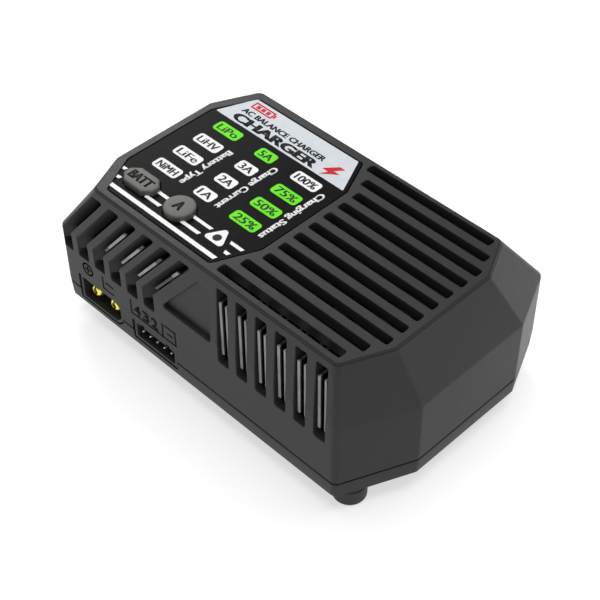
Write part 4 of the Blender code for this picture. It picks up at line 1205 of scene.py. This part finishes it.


# Painted highlights: light strips at both sides of each vent, standing in for highlights on the vents' side
# edges
def vent_painted_highlights(mesh):
    bottom, top = TOP_Z - 22.8 * MM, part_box("output_heat_sink")[1].z
    for i in range(VENT_COUNT):
        for lead, width in VENT_HIGHLIGHTS:
            left = VENT_LEFT + i * VENT_PITCH + lead * MM
            centre = (left + width * MM / 2, (top + bottom) / 2)
            light_strip(mesh, rectangle(width * MM, top - bottom, centre))


def gill_fin_edges(mesh):
    for number, (down, up) in GILL_FINS.items():
        lead = GILL_LEFT + number * VENT_PITCH + GILL_WIDTH - 0.5 * MM
        bottom, top = TOP_Z + down * MM, TOP_Z + up * MM
        foot, head = lead + GILL_LEAN * (bottom - GILL_BEND_Z), lead + GILL_LEAN * (top - GILL_BEND_Z)
        light_strip(mesh, [
            Vector((foot - GILL_FIN_WIDTH, bottom)),
            Vector((foot, bottom)),
            Vector((head, top)),
            Vector((head - GILL_FIN_WIDTH, top)),
        ])


# The vent strips are painted highlights; the gill strips are bare fin edges
piece(carved("vent_painted_highlights", vent_painted_highlights), FIN_EDGE_AND_HIGHLIGHT)
piece(carved("gill_fin_edges", gill_fin_edges), FIN_EDGE_AND_HIGHLIGHT)


# ---------------------------------------------------------------- studio

def area_light(name, place, aim, size, power):
    data = bpy.data.lights.new(name, "AREA")
    data.shape = "RECTANGLE"
    data.size, data.size_y = size
    data.energy = power
    made = bpy.data.objects.new(name, data)
    made.location = place
    made.rotation_euler = (Vector(aim) - Vector(place)).to_track_quat("-Z", "Y").to_euler()
    bpy.context.scene.collection.objects.link(made)
    return made


FLOOR_SIZE = 8.0


def make_floor():
    """A pale floor that glows a little, so that shadows on it stay faint."""
    look = Look("pale_floor")
    look.colour(look.noise(3, 2), (0.50, 0.50, 0.50), (0.53, 0.53, 0.53))
    look.gloss(look.noise(9, 2), 0.85, 0.95)
    look.set(Specular_IOR_Level=0.1, Emission_Color=(1, 1, 1, 1), Emission_Strength=0.60)
    floor = raw("floor", lambda mesh: patch(mesh, rectangle(FLOOR_SIZE, FLOOR_SIZE), 0.0))
    floor.data.materials.append(look.material)
    return floor


make_floor()
world = bpy.data.worlds.new("studio")
world.use_nodes = True
background = world.node_tree.nodes["Background"]
background.inputs["Color"].default_value = (1.0, 1.0, 1.0, 1)
background.inputs["Strength"].default_value = 0.24
bpy.context.scene.world = world

middle = Vector((0, 0, TOP_Z / 2))
area_light("sheen_panel", middle + Vector((-0.70, 0.42, 0.54)), middle, (0.30, 0.30), 3.6)
area_light("overhead_panel", middle + Vector((0.0, 0.1, 0.95)), middle, (0.9, 0.9), 9.0)
area_light("front_right_panel", middle + Vector((0.45, -0.48, 0.26)), middle, (0.3, 0.3), 0.6)

AIM = Vector((5.71, -7.15, 21.82)) * MM
AZIMUTH, ELEVATION, ROLL = math.radians(45.36), math.radians(45.07), math.radians(-0.404)
DISTANCE = 327.2 * MM
LENS = 85.73
back = Vector((
    math.sin(AZIMUTH) * math.cos(ELEVATION), -math.cos(AZIMUTH) * math.cos(ELEVATION), math.sin(ELEVATION)))
side = Vector((0, 0, 1)).cross(back).normalized()
up = back.cross(side)
rolled_side = side * math.cos(ROLL) + up * math.sin(ROLL)
rolled_up = up * math.cos(ROLL) - side * math.sin(ROLL)
camera_data = bpy.data.cameras.new("camera")
camera_data.lens = LENS
camera_data.sensor_width = 36
camera_data.clip_start = 0.01
camera = bpy.data.objects.new("camera", camera_data)
turn = Matrix((rolled_side, rolled_up, back)).transposed()
camera.matrix_world = Matrix.Translation(AIM + back * DISTANCE) @ turn.to_4x4()
bpy.context.scene.collection.objects.link(camera)
bpy.context.scene.camera = camera
bpy.context.scene.view_settings.view_transform = "Standard"
